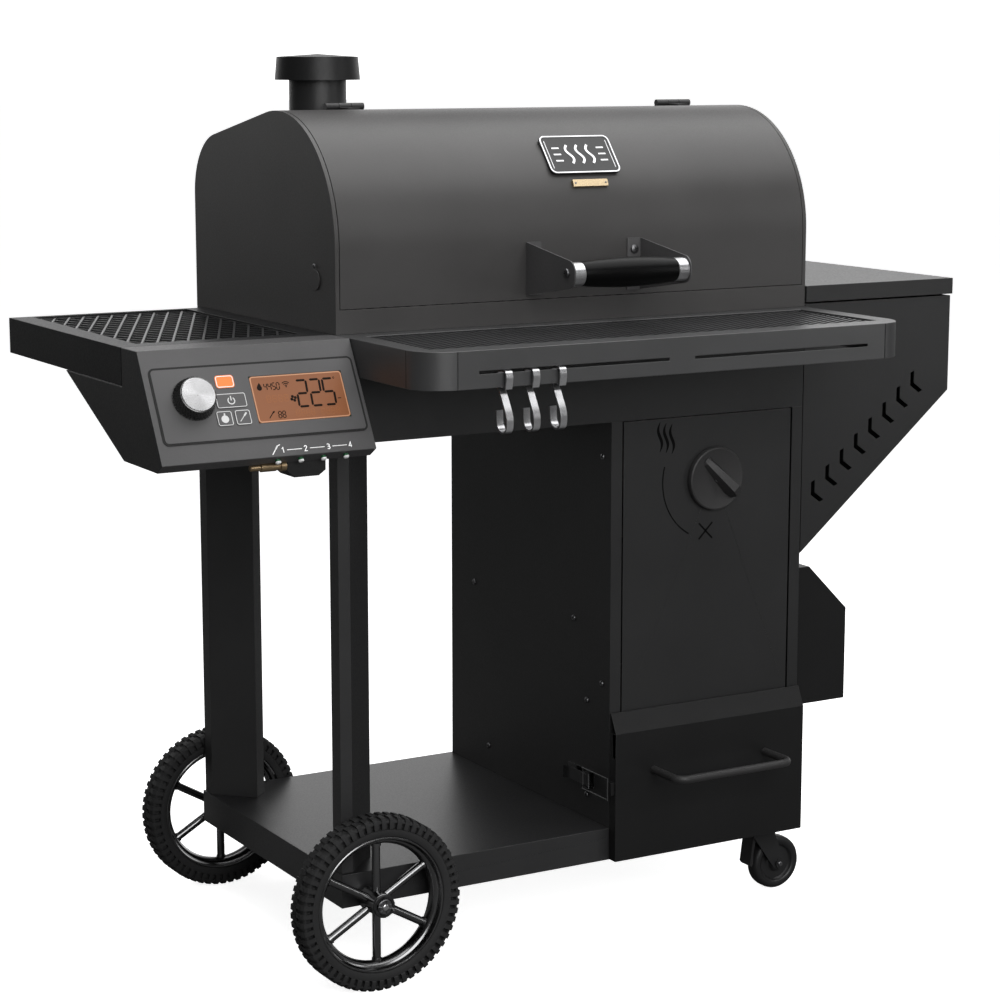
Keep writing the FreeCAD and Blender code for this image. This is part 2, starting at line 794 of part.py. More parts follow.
def make_hopper():
    """Wedge-shaped outer case with vents, its lid, and the funnel inside."""
    d = dims
    left = d.hood_length + d.gap
    slope = (d.hopper_knee - d.hopper_tip) / (d.hopper_right - left)
    wall = d.gauge
    rise = 2 * wall * 1.0685
    case = new_body("hopper_case")
    pad(case, "Y", 0, d.hopper_depth, [[
        (left, d.hopper_tip), (d.hopper_right, d.hopper_knee),
        (d.hopper_right, d.hopper_rim), (left, d.hopper_rim)]])
    inner_left = left + wall
    inner_right = d.hopper_right - wall
    cut(case, "Y", wall, d.hopper_depth - 2 * wall, [[
        (inner_left, d.hopper_tip + rise), (inner_right, d.hopper_knee + rise - slope * wall),
        (inner_right, d.hopper_rim + 1), (inner_left, d.hopper_rim + 1)]])
    chevrons = []
    for number in range(8):
        x = 799 + 26.6 * number
        z = d.hopper_tip + slope * (x - left) + 72.6
        chevrons.append([(x, z), (x, z + 20), (x + 7, z + 23), (x + 7, z + 3.5),
                         (x + 24, z - 8.7), (x + 17, z - 12)])
    cut(case, "Y", -1, wall + 2, chevrons)
    feed = (d.burner_y, d.auger_height, d.auger_tube_radius + 0.3)
    cut(case, "X", left - 1, wall + 2, circles=[feed])

    lid = new_body("hopper_lid")
    right = d.hopper_right + 2
    low, top = d.hopper_lid_bottom, d.hopper_lid_top
    pad(lid, "Z", low, top - low, [rectangle(left, right, -3, d.hopper_depth)])
    cut(lid, "Z", low - 1, top - low - wall + 1,
        [rectangle(left + wall, right - wall, -1, d.hopper_depth - wall)])
    ear_y = d.hopper_depth + 5
    for x in (left + 30, d.hopper_right - 60):
        pad(lid, "X", x, 28, [rectangle(d.hopper_depth - 1, ear_y + 1, low + 2, low + 6)])
        pad(lid, "X", x, 28, circles=[(ear_y, low + 4, 4)])
        cut(lid, "X", x - 1, 30, circles=[(ear_y, low + 4, 2 + d.play)])

    for x in (left + 30, d.hopper_right - 60):
        pad(case, "X", x - 3, 34, [rectangle(d.hopper_depth - 1, d.hopper_depth + 2,
                                             low - 24, low - 6)])
        for side in (x - 3, x + 28.5):
            ear = [(d.hopper_depth + 1, low - 24), (ear_y + 3, low - 12), (ear_y + 3, low + 7),
                   (ear_y - 3, low + 7), (d.hopper_depth + 1, low + 4)]
            pad(case, "X", side, 2.5, [ear])
        pad(case, "X", x - 3, 34, circles=[(ear_y, low + 4, 2)])

    funnel = new_body("pellet_funnel")
    loft(funnel, "PartDesign::AdditiveLoft", rectangle(790, 1050, 10, 430), 905,
         rectangle(798, 924, d.burner_y - 26, d.burner_y + 26), 768)
    loft(funnel, "PartDesign::SubtractiveLoft", rectangle(792, 1048, 12, 428), 906,
         rectangle(800, 922, d.burner_y - 24, d.burner_y + 24), 767)


def loft(body, kind, top, top_height, bottom, bottom_height):
    """A loft between two level outlines."""
    feature = body.newObject(kind, "Loft")
    feature.Profile = new_sketch(body, "Z", bottom_height, [bottom])
    feature.Sections = [new_sketch(body, "Z", top_height, [top])]
    feature.Ruled = True
    return feature


def make_burner():
    """Burner box with its feed tube, fire pot with igniter rod, auger screw and motor."""
    d = dims
    half = d.burner_half
    box = new_body("burner_housing")
    top = d.tub_bottom
    pad(box, "Z", d.burner_bottom, top - d.burner_bottom, [rectangle(
        d.burner_x - half, d.burner_x + half, d.burner_y - half, d.burner_y + half)])
    tube = (d.burner_y, d.auger_height, d.auger_tube_radius)
    tube_start = d.burner_x + 50
    pad(box, "X", d.burner_x + half - 1, d.auger_end + 3 - d.burner_x - half, circles=[tube])
    inner = half - d.gauge
    cut(box, "Z", d.burner_bottom + d.gauge, 300, [rectangle(
        d.burner_x - inner, d.burner_x + inner, d.burner_y - inner, d.burner_y + inner)])
    bore = (d.burner_y, d.auger_height, d.auger_tube_radius - d.gauge)
    cut(box, "X", tube_start, d.auger_end - tube_start + 4, circles=[bore])
    cut(box, "Z", d.auger_height + 12, 40, [rectangle(800, 922, d.burner_y - 24,
                                                      d.burner_y + 24)])
    vents = [(d.sear_x + 30 * math.cos(math.radians(a)), d.sear_z + 30 * math.sin(math.radians(a)),
              9) for a in (200, 240, 280)]
    cut(box, "Y", d.burner_y - half - 1, d.gauge + 2, circles=vents)
    cut(box, "Y", d.burner_y - half - 1, d.gauge + 2, circles=[(d.sear_x, d.sear_z, 5 + d.play)])
    inlet = (d.burner_y, d.burner_bottom + 40, 25)
    cut(box, "X", d.burner_x + half - 10, 20, circles=[inlet])

    pot = new_body("fire_pot")
    put(pot, d.burner_x, d.burner_y, d.burner_bottom + 60)
    revolve(pot, [(0, 0), (45, 0), (52, 80), (50, 80), (43, 2), (0, 2)], "Z")
    for level in (20, 45):
        hole = body_hole_ring(pot, level)
        polar(pot, [hole], "Z", 10)
    for x in (-40, 34):
        pad(pot, "Z", -58, 59, [rectangle(x, x + 6, -3, 3)])

    pad(pot, "Y", -70, 62, circles=[(0, -30, 4)])

    screw = new_body("auger_screw")
    put(screw, 0, d.burner_y, d.auger_height)
    start, end = d.auger_start, d.auger_end - 8
    pad(screw, "X", start, d.auger_end + 12 - start, circles=[(0, 0, 6)])
    helix = screw.newObject("PartDesign::AdditiveHelix", "Flight")
    helix.Profile = new_sketch(screw, "Z", 0, [rectangle(start + 3, start + 6, 4,
                                                         d.auger_radius)])
    axis = next(f for f in screw.Origin.OriginFeatures if f.Role == "X_Axis")
    helix.ReferenceAxis = (axis, [""])
    helix.Mode = "pitch-height-angle"
    bind(helix, "Pitch", d.auger_pitch)
    bind(helix, "Height", end - start - 12)

    motor = new_body("auger_motor")
    pad(motor, "X", d.auger_end + 4, 42, [rectangle(d.burner_y - 24, d.burner_y + 24,
                                                    d.auger_height - 19, d.auger_height + 21)])
    cut(motor, "X", d.auger_end + 3, 20, circles=[(d.burner_y, d.auger_height, 6 + d.play)])


def body_hole_ring(pot, level):
    """One radial air hole of the fire pot."""
    return cut(pot, "X", 40, 20, circles=[(0, level, 4)])


def make_sear_control():
    """Front knob, and the shaft with its sector plate that covers the burner's air holes."""
    d = dims
    knob = new_body("sear_knob")
    put(knob, d.sear_x, 0, d.sear_z)
    pad(knob, "Y", -9, 8, circles=[(0, 0, d.sear_radius)])
    pad(knob, "Y", -12, 4, circles=[(0, 0, d.sear_radius - 5)])
    ridge = [(-28, 22), (-14, 36), (40, -20), (28, -32)]
    pad(knob, "Y", -30, 20, [ridge])
    cut(knob, "Y", -12, 12, circles=[(0, 0, 4.95)])

    damper = new_body("sear_damper")
    put(damper, d.sear_x, 0, d.sear_z)
    front_wall = d.burner_y - d.burner_half
    pad(damper, "Y", -12, front_wall + 30, circles=[(0, 0, 4.95)])
    sector = [(0, 12), (-14, 0), (-44, -20), (-22, -46), (22, -44), (12, 0)]
    pad(damper, "Y", front_wall - 4, 2, [sector])


# --- cart ----------------------------------------------------------------------------------------

def make_base():
    """Folded tray with a return lip, the two left legs, and the pedestal panels."""
    d = dims
    tray = new_body("base_tray")
    pad(tray, "Z", d.base_bottom, d.base_top - d.base_bottom,
        [rectangle(0, d.hood_length, 0, d.base_depth)])
    wall = d.gauge
    cut(tray, "Z", d.base_bottom + wall, d.base_top - d.base_bottom - 2 * wall,
        [rectangle(wall, d.hood_length - wall, wall, d.base_depth - wall)])
    cut(tray, "Z", d.base_bottom - 1, wall + 2,
        [rectangle(70, 690, 30, d.base_depth - 30)])
    cut(tray, "Y", -1, d.base_depth + 2, circles=[(d.wheel_x, d.wheel_radius, d.axle_radius)])

    legs = new_body("cart_legs")
    height = d.tub_bottom - d.base_top
    for mirrored in (False, True):
        outer = leg_outline(0, mirrored)
        inner = leg_outline(d.gauge, mirrored)
        pad(legs, "Z", d.base_top, height, [outer, inner])

    left = d.pedestal_left
    right = d.hood_length
    back = d.pedestal_depth
    body = new_body("pedestal_shell")
    flange = d.flange
    shell = [
        (left, 0), (left + flange, 0), (left + flange, wall), (left + wall, wall),
        (left + wall, back - wall), (right - wall, back - wall), (right - wall, wall),
        (right - flange, wall), (right - flange, 0), (right, 0), (right, back), (left, back),
    ]
    pad(body, "Z", d.base_top, d.tub_bottom - d.base_top, [shell])
    cut(body, "X", right - wall - 1, wall + 2,
        circles=[(d.burner_y, d.auger_height, d.auger_tube_radius + 0.3), (180, 390, 42)])

    panel = new_body("pedestal_front_panel")
    pad(panel, "Y", 0, wall, [rectangle(d.panel_left, d.panel_right, d.panel_bottom - 8,
                                        d.tub_bottom - 1)])
    pad(panel, "Y", 0, 14, [rectangle(d.panel_left, d.panel_right, d.tub_bottom - 3,
                                      d.tub_bottom - 1)])
    cut(panel, "Y", -1, wall + 2, circles=[(d.sear_x, d.sear_z, 5)])


def leg_outline(inset, mirrored):
    """Five-sided tube section that fills a corner of the base and faces its middle."""
    d = dims
    i = as_size(inset)
    near = [
        (2 + i, 5 + i), (20 + 0.41 * i, 5 + i), (76 - 1.41 * i, 61 + 0 * i),
        (54 + 0 * i, 83 - 1.41 * i), (2 + i, 31 - 0.41 * i),
    ]
    if not mirrored:
        return near
    return [(x, d.base_depth - y) for x, y in reversed(near)]


def make_drawer():
    """Ash and grease drawer: folded front, open bin and bent-rod handle."""
    d = dims
    wall = d.gauge
    left, right = d.pedestal_left, d.hood_length
    face = d.drawer_face
    front = new_body("drawer_front")
    pad(front, "Y", face, -face - d.gap, [rectangle(left, right, d.drawer_bottom,
                                                    d.drawer_shoulder)])
    cut(front, "Y", face + wall, -face, [rectangle(left + wall, right - wall,
                                                   d.drawer_bottom + wall,
                                                   d.drawer_shoulder + 1)])
    slope = [
        (face, d.drawer_shoulder - 1), (face + wall, d.drawer_shoulder - 1),
        (face + wall, d.drawer_shoulder), (face + 14 + wall, d.drawer_head),
        (face + 14, d.drawer_head), (face, d.drawer_shoulder),
    ]
    pad(front, "X", left, right - left, [slope])
    keeper_z = (d.latch_z - 10, d.latch_z + 10)
    pad(front, "Y", -15, 9, [rectangle(left - 6, left + 1, *keeper_z)])

    tray = new_body("ash_bin")
    low, high = d.base_top + 0.5, 300
    bin_left, bin_right = d.panel_left + 2, d.panel_right - 2
    pad(tray, "Z", low, high - low, [rectangle(bin_left, bin_right, face + wall, 380)])
    cut(tray, "Z", low + 1.5, 200, [rectangle(bin_left + 1.5, bin_right - 1.5,
                                              face + wall + 1.5, 378.5)])

    handle = new_body("drawer_handle")
    reach = face - d.drawer_handle_reach
    path = [(507, face), (507, reach, 16), (708, reach, 16), (708, face)]
    put(handle, 0, 0, d.drawer_handle_z)
    bent_rod(handle, "Z", 0, path, "Y", face, circles=[(507, 0, d.handle_rod_radius)])


def make_latch():
    """Over-centre draw latch: fixed base with ears, lever, and wire bail."""
    d = dims
    z = d.latch_z
    x, y = d.latch_pivot_x, d.latch_pivot_y
    plate_x = d.pedestal_left - 2
    base = new_body("latch_base")
    pad(base, "X", plate_x, 2, [rectangle(y - 8, y + 66, z - 13, z + 13)])
    for side in (z - 13, z + 11):
        ear = [(x - 4, y - 6), (plate_x + 1, y - 6), (plate_x + 1, y + 6), (x - 4, y + 6)]
        pad(base, "Z", side, 2, [ear])
    cut(base, "Z", z - 14, 28, circles=[(x, y, 1.5 + d.play)])

    lever = new_body("latch_lever")
    put(lever, x, y, z)
    pad(lever, "Z", -10, 20, circles=[(0, 0, 3)])
    pad(lever, "Z", -13, 26, circles=[(0, 0, 1.5)])
    arm = [(-3, 0), (-1, 0), (-1, 52), (-6, 60), (-8, 59), (-3, 51)]
    pad(lever, "Z", -9, 18, [arm])
    pad(lever, "Z", -9, 18, circles=[(-2, 12, 3)])
    cut(lever, "Z", -10, 20, circles=[(-2, 12, 1.2 + d.play)])

    bail = new_body("latch_bail")
    put(bail, x - 2, d.bail_y, z)
    reach = -68
    half = 16
    wire = 1.5
    pad(bail, "Z", -half, 2 * half, circles=[(0, 0, 1.2)])
    for level in (-half, half):
        pad(bail, "Y", reach, -reach + 2, circles=[(0, level, wire)])
    pad(bail, "Z", -half - wire, 2 * half + 2 * wire, circles=[(0, reach, wire)])


def make_blower():
    """Fan housing on the pedestal's right side, and the fan wheel in it."""
    d = dims
    left = d.hood_length + 0.5
    front, back = 60, 300
    case = new_body("blower_housing")
    outer = [(left, 286), (917, 286), (917, 432), (844, 505), (left, 505)]
    pad(case, "Y", front, back - front, [outer])
    wall = d.gauge
    inner = [(left - 1, 288), (915, 288), (915, 431.2), (843.2, 503), (left - 1, 503)]
    cut(case, "Y", front + wall, back - front - 2 * wall, [inner])
    pad(case, "X", 850, 66, circles=[(180, 390, 30)])
    pad(case, "X", 800, 60, circles=[(180, 390, 3)])

    fan = new_body("fan_wheel")
    put(fan, 0, 180, 390)
    pad(fan, "X", 840, 2, circles=[(0, 0, 55)])
    pad(fan, "X", 805, 36, circles=[(0, 0, 9)])
    blade = pad(fan, "X", 808, 33, [rectangle(30, 54, -1, 1)])
    polar(fan, [blade], "X", 12)
    cut(fan, "X", 804, 40, circles=[(0, 0, 3 + d.play)])


# --- wheels --------------------------------------------------------------------------------------

def make_cart_wheels():
    """Axle with its nuts, and two spoked wheels with rubber tyres."""
    d = dims
    front_middle = -d.wheel_gap - d.wheel_width / 2
    rear_middle = d.base_depth + d.wheel_gap + d.wheel_width / 2
    axle = new_body("axle")
    put(axle, d.wheel_x, 0, d.wheel_radius)
    hub_half = d.wheel_width / 2 + 2
    axle_start = front_middle - hub_half - 8
    axle_end = rear_middle + hub_half + 8
    pad(axle, "Y", axle_start, axle_end - axle_start, circles=[(0, 0, d.axle_radius - d.play)])
    pad(axle, "Y", axle_start, 7, circles=[(0, 0, 11)])
    pad(axle, "Y", axle_end - 7, 7, circles=[(0, 0, 11)])
    for name, middle in (("front", front_middle), ("rear", rear_middle)):
        rim = new_body(f"wheel_rim_{name}")
        put(rim, d.wheel_x, middle, d.wheel_radius)
        half = d.wheel_width / 2
        inner, outer = d.rim_inner, d.rim_radius
        channel = [
            (inner, -10), (inner + 6, -10), (outer - 7, -half + 4), (outer, -half + 4),
            (outer, half - 4), (outer - 7, half - 4), (inner + 6, 10), (inner, 10),
        ]
        ring(rim, channel)
        pad(rim, "Y", -hub_half, 2 * hub_half, circles=[(0, 0, d.hub_radius)])
        spoke = pad(rim, "Z", d.hub_radius - 2, inner - d.hub_radius + 3,
                    circles=[(0, 0, d.spoke_radius)])
        polar(rim, [spoke], "Y", 6)
        cut(rim, "Y", -hub_half - 1, 2 * hub_half + 2, circles=[(0, 0, d.axle_radius)])
        tyre = new_body(f"wheel_tyre_{name}")
        put(tyre, d.wheel_x, middle, d.wheel_radius)
        section = [
            (outer, -half + 4), (outer + 5, -half, 3), (d.wheel_radius - 9, -half, 5),
            (d.wheel_radius, -half + 9, 5), (d.wheel_radius, half - 9, 5),
            (d.wheel_radius - 9, half, 5), (outer + 5, half, 3), (outer, half - 4),
        ]
        ring(tyre, section)


def ring(body, section):
    """Turns an XY section about the Y axis."""
    axis = next(f for f in body.Origin.OriginFeatures if f.Role == "Y_Axis")
    feature = body.newObject("PartDesign::Revolution", "Revolution")
    feature.Profile = new_sketch(body, "Z", 0, [section])
    feature.ReferenceAxis = (axis, [""])
    feature.Angle = 360
    return feature


def make_casters():
    """Two swivel casters under the right end; the front one has a brake pedal."""
    d = dims
    plates = new_body("caster_plates")
    radius = d.caster_radius
    swivel_top = d.base_bottom - 3
    fork_top = swivel_top - 5
    for name, y in (("front", d.caster_inset), ("rear", d.base_depth - d.caster_inset)):
        pad(plates, "Z", swivel_top, 3, [rectangle(d.caster_x - 38, d.caster_x + 30,
                                                   y - 30, y + 30, 4)])
        pad(plates, "Z", fork_top - 4, 10, circles=[(d.caster_x, y, 5)])
        pad(plates, "Z", fork_top - 6, 2.5, circles=[(d.caster_x, y, 8)])

        fork = new_body(f"caster_fork_{name}")
        put(fork, d.caster_x, y, 0)
        half = d.caster_width / 2 + 1.5
        sheet_gauge = 2.5
        trail = d.caster_trail
        pad(fork, "Z", fork_top - 3, 3, [rectangle(-18, 22, -half - sheet_gauge,
                                                   half + sheet_gauge, 4)])
        pad(fork, "Z", fork_top, 4.5, circles=[(0, 0, 16)])
        leg = [(-18, fork_top), (-18, fork_top - 14), (trail - 9, radius - 6),
               (trail + 9, radius - 6), (trail + 9, radius + 8), (22, fork_top - 14),
               (22, fork_top)]
        for start in (-half - sheet_gauge, half):
            pad(fork, "Y", start, sheet_gauge, [leg])
        pad(fork, "Y", -half - 5, 2 * half + 10, circles=[(trail, radius, 4)])
        pad(fork, "Y", -half - 6, 4, circles=[(trail, radius, 7)])
        pad(fork, "Y", half + 2, 4, circles=[(trail, radius, 7)])
        cut(fork, "Z", fork_top - 10, 20, circles=[(0, 0, 5 + d.play)])
        if name == "front":
            cut(fork, "Y", -half - 10, 2 * half + 20, circles=[(-14, fork_top - 12, 2 + d.play)])

        wheel = new_body(f"caster_wheel_{name}")
        put(wheel, d.caster_x + trail, y, radius)
        w = d.caster_width / 2
        ring(wheel, [
            (4 + d.play, -w), (10, -w), (12, -w + 6), (radius - 14, -w + 6),
            (radius - 12, -w + 2), (radius - 5, -w + 1, 3), (radius, -w + 6, 3),
            (radius, w - 6, 3), (radius - 5, w - 1, 3), (radius - 12, w - 2),
            (radius - 14, w - 6), (12, w - 6), (10, w), (4 + d.play, w),
        ])
    brake = new_body("caster_brake_pedal")
    put(brake, d.caster_x - 14, d.caster_inset, fork_top - 12)
    width = 2 * half - 1
    pad(brake, "Y", -half + 0.5, width, [[(0, 3), (-3, 0), (-7, -30), (-9, -46), (-6, -50),
                                          (-3, -46), (-3, -30), (3, 0)]])
    pad(brake, "Y", -half - 2, 2 * half + 4, circles=[(0, 0, 2)])


def make_fasteners():
    """Round-head screws of the pedestal's left side and the hopper's right side."""
    d = dims
    body = new_body("panel_screws")
    left_side = ((23, 715), (403, 461), (101, 461), (22, 377), (63, 343), (62, 198), (357, 203))
    for y, z in left_side:
        pad(body, "X", d.pedestal_left - 2.5, 2.5, circles=[(y, z, 4.5)])
    for y in (14, d.hopper_depth - 14):
        pad(body, "X", d.hopper_right, 2.5, circles=[(y, 850, 4)])


# --- the whole grill -----------------------------------------------------------------------------

def build():
    """Makes every sub-part."""
    make_hood_shell()
    make_tub()
    make_lid()
    make_hinges()
    make_lid_handle()
    make_chimney()
    make_inner_plates()
    make_front_shelf()
    make_side_shelf()
    make_meshes()
    make_hooks()
    make_controller()
    make_hopper()
    make_burner()
    make_sear_control()
    make_base()
    make_drawer()
    make_latch()
    make_blower()
    make_cart_wheels()
    make_casters()
    make_fasteners()


def place_all():
    """Sets each sub-part's Placement, with the origin under the middle of the whole grill."""
    d = dims
    middle_x = (d.hopper_right + 2 + 0.5 - d.side_shelf_width) / 2
    hub_reach = d.wheel_gap + d.wheel_width + 2 + 8
    middle_y = (d.base_depth + hub_reach - d.front_shelf_depth - 9.2) / 2
    for obj, x, y, z, lean in sub_parts:
        obj.Placement = FreeCAD.Placement(
            FreeCAD.Vector(0, 0, 0), FreeCAD.Rotation(FreeCAD.Vector(1, 0, 0), float(lean)))
        bind(obj, "Placement.Base.x", x - middle_x)
        bind(obj, "Placement.Base.y", y - middle_y)
        bind(obj, "Placement.Base.z", z)


def check_model():
    """Stops the script if any object failed, or a cut removed nothing."""
    for obj in doc.Objects:
        if "Invalid" in obj.State or "Error" in obj.State:
            raise RuntimeError(f"{obj.Label} failed: {obj.State}")
        if obj.TypeId == "PartDesign::Pocket":
            removed = obj.BaseFeature.Shape.Volume - obj.Shape.Volume
            if removed < 0.5:
                raise RuntimeError(f"{obj.Label} cuts nothing")
    for entry in sub_parts:
        shape = entry[0].Shape
        if shape.isNull() or not shape.isValid():
            raise RuntimeError(f"{entry[0].Label} has a bad shape")


build()
place_all()
doc.recompute()
check_model()
os.makedirs("parts", exist_ok=True)
for entry in sub_parts:
    entry[0].Shape.exportStep(f"parts/{entry[0].Label}.step")
whole = Part.makeCompound([entry[0].Shape for entry in sub_parts])
print(len(sub_parts), "sub-parts", whole.BoundBox)
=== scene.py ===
import math

import bmesh
import bpy
from mathutils import Matrix, Vector


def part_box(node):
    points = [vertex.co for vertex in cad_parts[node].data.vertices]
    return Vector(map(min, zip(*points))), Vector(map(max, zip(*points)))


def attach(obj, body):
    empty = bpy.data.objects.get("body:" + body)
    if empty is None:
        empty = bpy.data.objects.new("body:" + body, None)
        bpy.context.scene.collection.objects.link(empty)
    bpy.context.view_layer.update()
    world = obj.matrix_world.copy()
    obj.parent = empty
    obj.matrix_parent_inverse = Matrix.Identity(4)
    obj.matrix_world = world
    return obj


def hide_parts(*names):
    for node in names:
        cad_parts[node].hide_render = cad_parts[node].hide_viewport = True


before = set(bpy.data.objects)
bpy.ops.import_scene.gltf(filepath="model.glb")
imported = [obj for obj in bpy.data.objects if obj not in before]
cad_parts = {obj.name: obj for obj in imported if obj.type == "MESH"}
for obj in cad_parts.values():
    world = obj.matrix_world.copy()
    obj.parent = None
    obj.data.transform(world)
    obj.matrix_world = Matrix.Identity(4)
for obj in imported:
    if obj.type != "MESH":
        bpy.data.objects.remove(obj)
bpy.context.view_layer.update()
MM = 0.001

# --- places ---
# Sizes below are in millimetres from the hood's left front corner on the floor.

hood_low, hood_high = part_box("hood_shell")
CART = Matrix.Translation((hood_low.x, hood_low.y, 0)) @ Matrix.Scale(MM, 4)


def at(x, y, z):
    """A frame at a point of the cart, with the cart's own axes."""
    return CART @ Matrix.Translation((x, y, z))


def facing(x, y, z, way):
    """A frame at a point whose Z looks along a direction such as "-Y"."""
    turns = {
        "+Z": Matrix.Identity(4),
        "-Z": Matrix.Rotation(math.pi, 4, "X"),
        "-Y": Matrix.Rotation(math.pi / 2, 4, "X"),
        "+Y": Matrix.Rotation(-math.pi / 2, 4, "X"),
        "-X": Matrix.Rotation(-math.pi / 2, 4, "Y"),
        "+X": Matrix.Rotation(math.pi / 2, 4, "Y"),
    }
    return at(x, y, z) @ turns[way]


def cart_box(node):
    """The two corners of a CAD node's box, in the cart's millimetres."""
    return [Vector(((corner.x - hood_low.x) / MM, (corner.y - hood_low.y) / MM, corner.z / MM))
            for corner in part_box(node)]


FASCIA = at(0, -119, 780.4) @ Matrix.Rotation(math.radians(60.9), 4, "X")
SHELF_FRONT = -248
LID_AXIS_Y, LID_AXIS_Z, LID_RADIUS = 180, 1033, 180


def on_lid(x, lean):
    """A frame on the lid's curved front, tilted back by a lean in degrees."""
    a = math.radians(lean)
    y = LID_AXIS_Y - LID_RADIUS * math.sin(a)
    z = LID_AXIS_Z + LID_RADIUS * math.cos(a)
    return at(x, y, z) @ Matrix.Rotation(a, 4, "X")


# --- materials ---

def new_material(name):
    """A node material, its Principled shader and its object coordinates."""
    material = bpy.data.materials.new(name)
    material.use_nodes = True
    nodes = material.node_tree.nodes
    coords = nodes.new("ShaderNodeTexCoord").outputs["Object"]
    return material, nodes["Principled BSDF"], coords


def add_node(material, kind, **values):
    """A node of a material or world, with its inputs or properties set by name."""
    node = material.node_tree.nodes.new(kind)
    for key, value in values.items():
        if key in node.inputs:
            node.inputs[key].default_value = value
        else:
            setattr(node, key, value)
    return node


def noise(material, coords, scale, detail=3.0, stretch=None):
    """The grey output of a noise texture, stretched along the axes if asked."""
    links = material.node_tree.links
    if stretch:
        mapping = add_node(material, "ShaderNodeMapping")
        mapping.inputs["Scale"].default_value = stretch
        links.new(coords, mapping.inputs["Vector"])
        coords = mapping.outputs["Vector"]
    texture = add_node(material, "ShaderNodeTexNoise", Scale=scale, Detail=detail)
    links.new(coords, texture.inputs["Vector"])
    return texture.outputs["Fac"]


def ramp(material, grey, stops):
    """A colour ramp over a grey value: pairs of position and colour."""
    node = add_node(material, "ShaderNodeValToRGB")
    elements = node.color_ramp.elements
    for element, (position, colour) in zip(elements, (stops[0], stops[-1])):
        element.position = position
        element.color = (*colour, 1)
    for position, colour in stops[1:-1]:
        elements.new(position).color = (*colour, 1)
    material.node_tree.links.new(grey, node.inputs["Fac"])
    return node.outputs["Color"]


def spread(material, grey, low, high):
    """Maps the middle of a noise to a range."""
    node = add_node(material, "ShaderNodeMapRange")
    for socket, value in (("From Min", 0.3), ("From Max", 0.7), ("To Min", low),
                          ("To Max", high)):
        node.inputs[socket].default_value = value
    material.node_tree.links.new(grey, node.inputs["Value"])
    return node.outputs["Result"]


def bump(material, shader, grey, strength, depth):
    """Feeds a grey height to the shader's normal."""
    node = add_node(material, "ShaderNodeBump", Strength=strength, Distance=depth)
    links = material.node_tree.links
    links.new(grey, node.inputs["Height"])
    links.new(node.outputs["Normal"], shader.inputs["Normal"])


def shade(colour, factor):
    """A colour times a factor."""
    return tuple(channel * factor for channel in colour)


def surface(name, colour, rough, vary=0.12, patch=7.0, grain=420.0, relief=0.25, depth=0.0003,
            specular=0.35, metallic=0.0, coat=0.0, stretch=None):
    """A procedural surface: mottled colour, uneven gloss and fine relief."""
    material, shader, coords = new_material(name)
    links = material.node_tree.links
    patches = noise(material, coords, patch, 4.0)
    tint = ramp(material, patches, [(0.3, shade(colour, 1 - vary)), (0.7, shade(colour, 1 + vary))])
    links.new(tint, shader.inputs["Base Color"])
    fine = noise(material, coords, grain, 3.0, stretch)
    links.new(spread(material, fine, rough - 0.05, rough + 0.06), shader.inputs["Roughness"])
    bump(material, shader, fine, relief, depth)
    shader.inputs["Specular IOR Level"].default_value = specular
    shader.inputs["Metallic"].default_value = metallic
    shader.inputs["Coat Weight"].default_value = coat
    return material


def glowing(material, colour, strength):
    """Adds a weak glow of its own to a surface, as a lit screen has."""
    shader = material.node_tree.nodes["Principled BSDF"]
    shader.inputs["Emission Color"].default_value = (*colour, 1)
    shader.inputs["Emission Strength"].default_value = strength
    return material


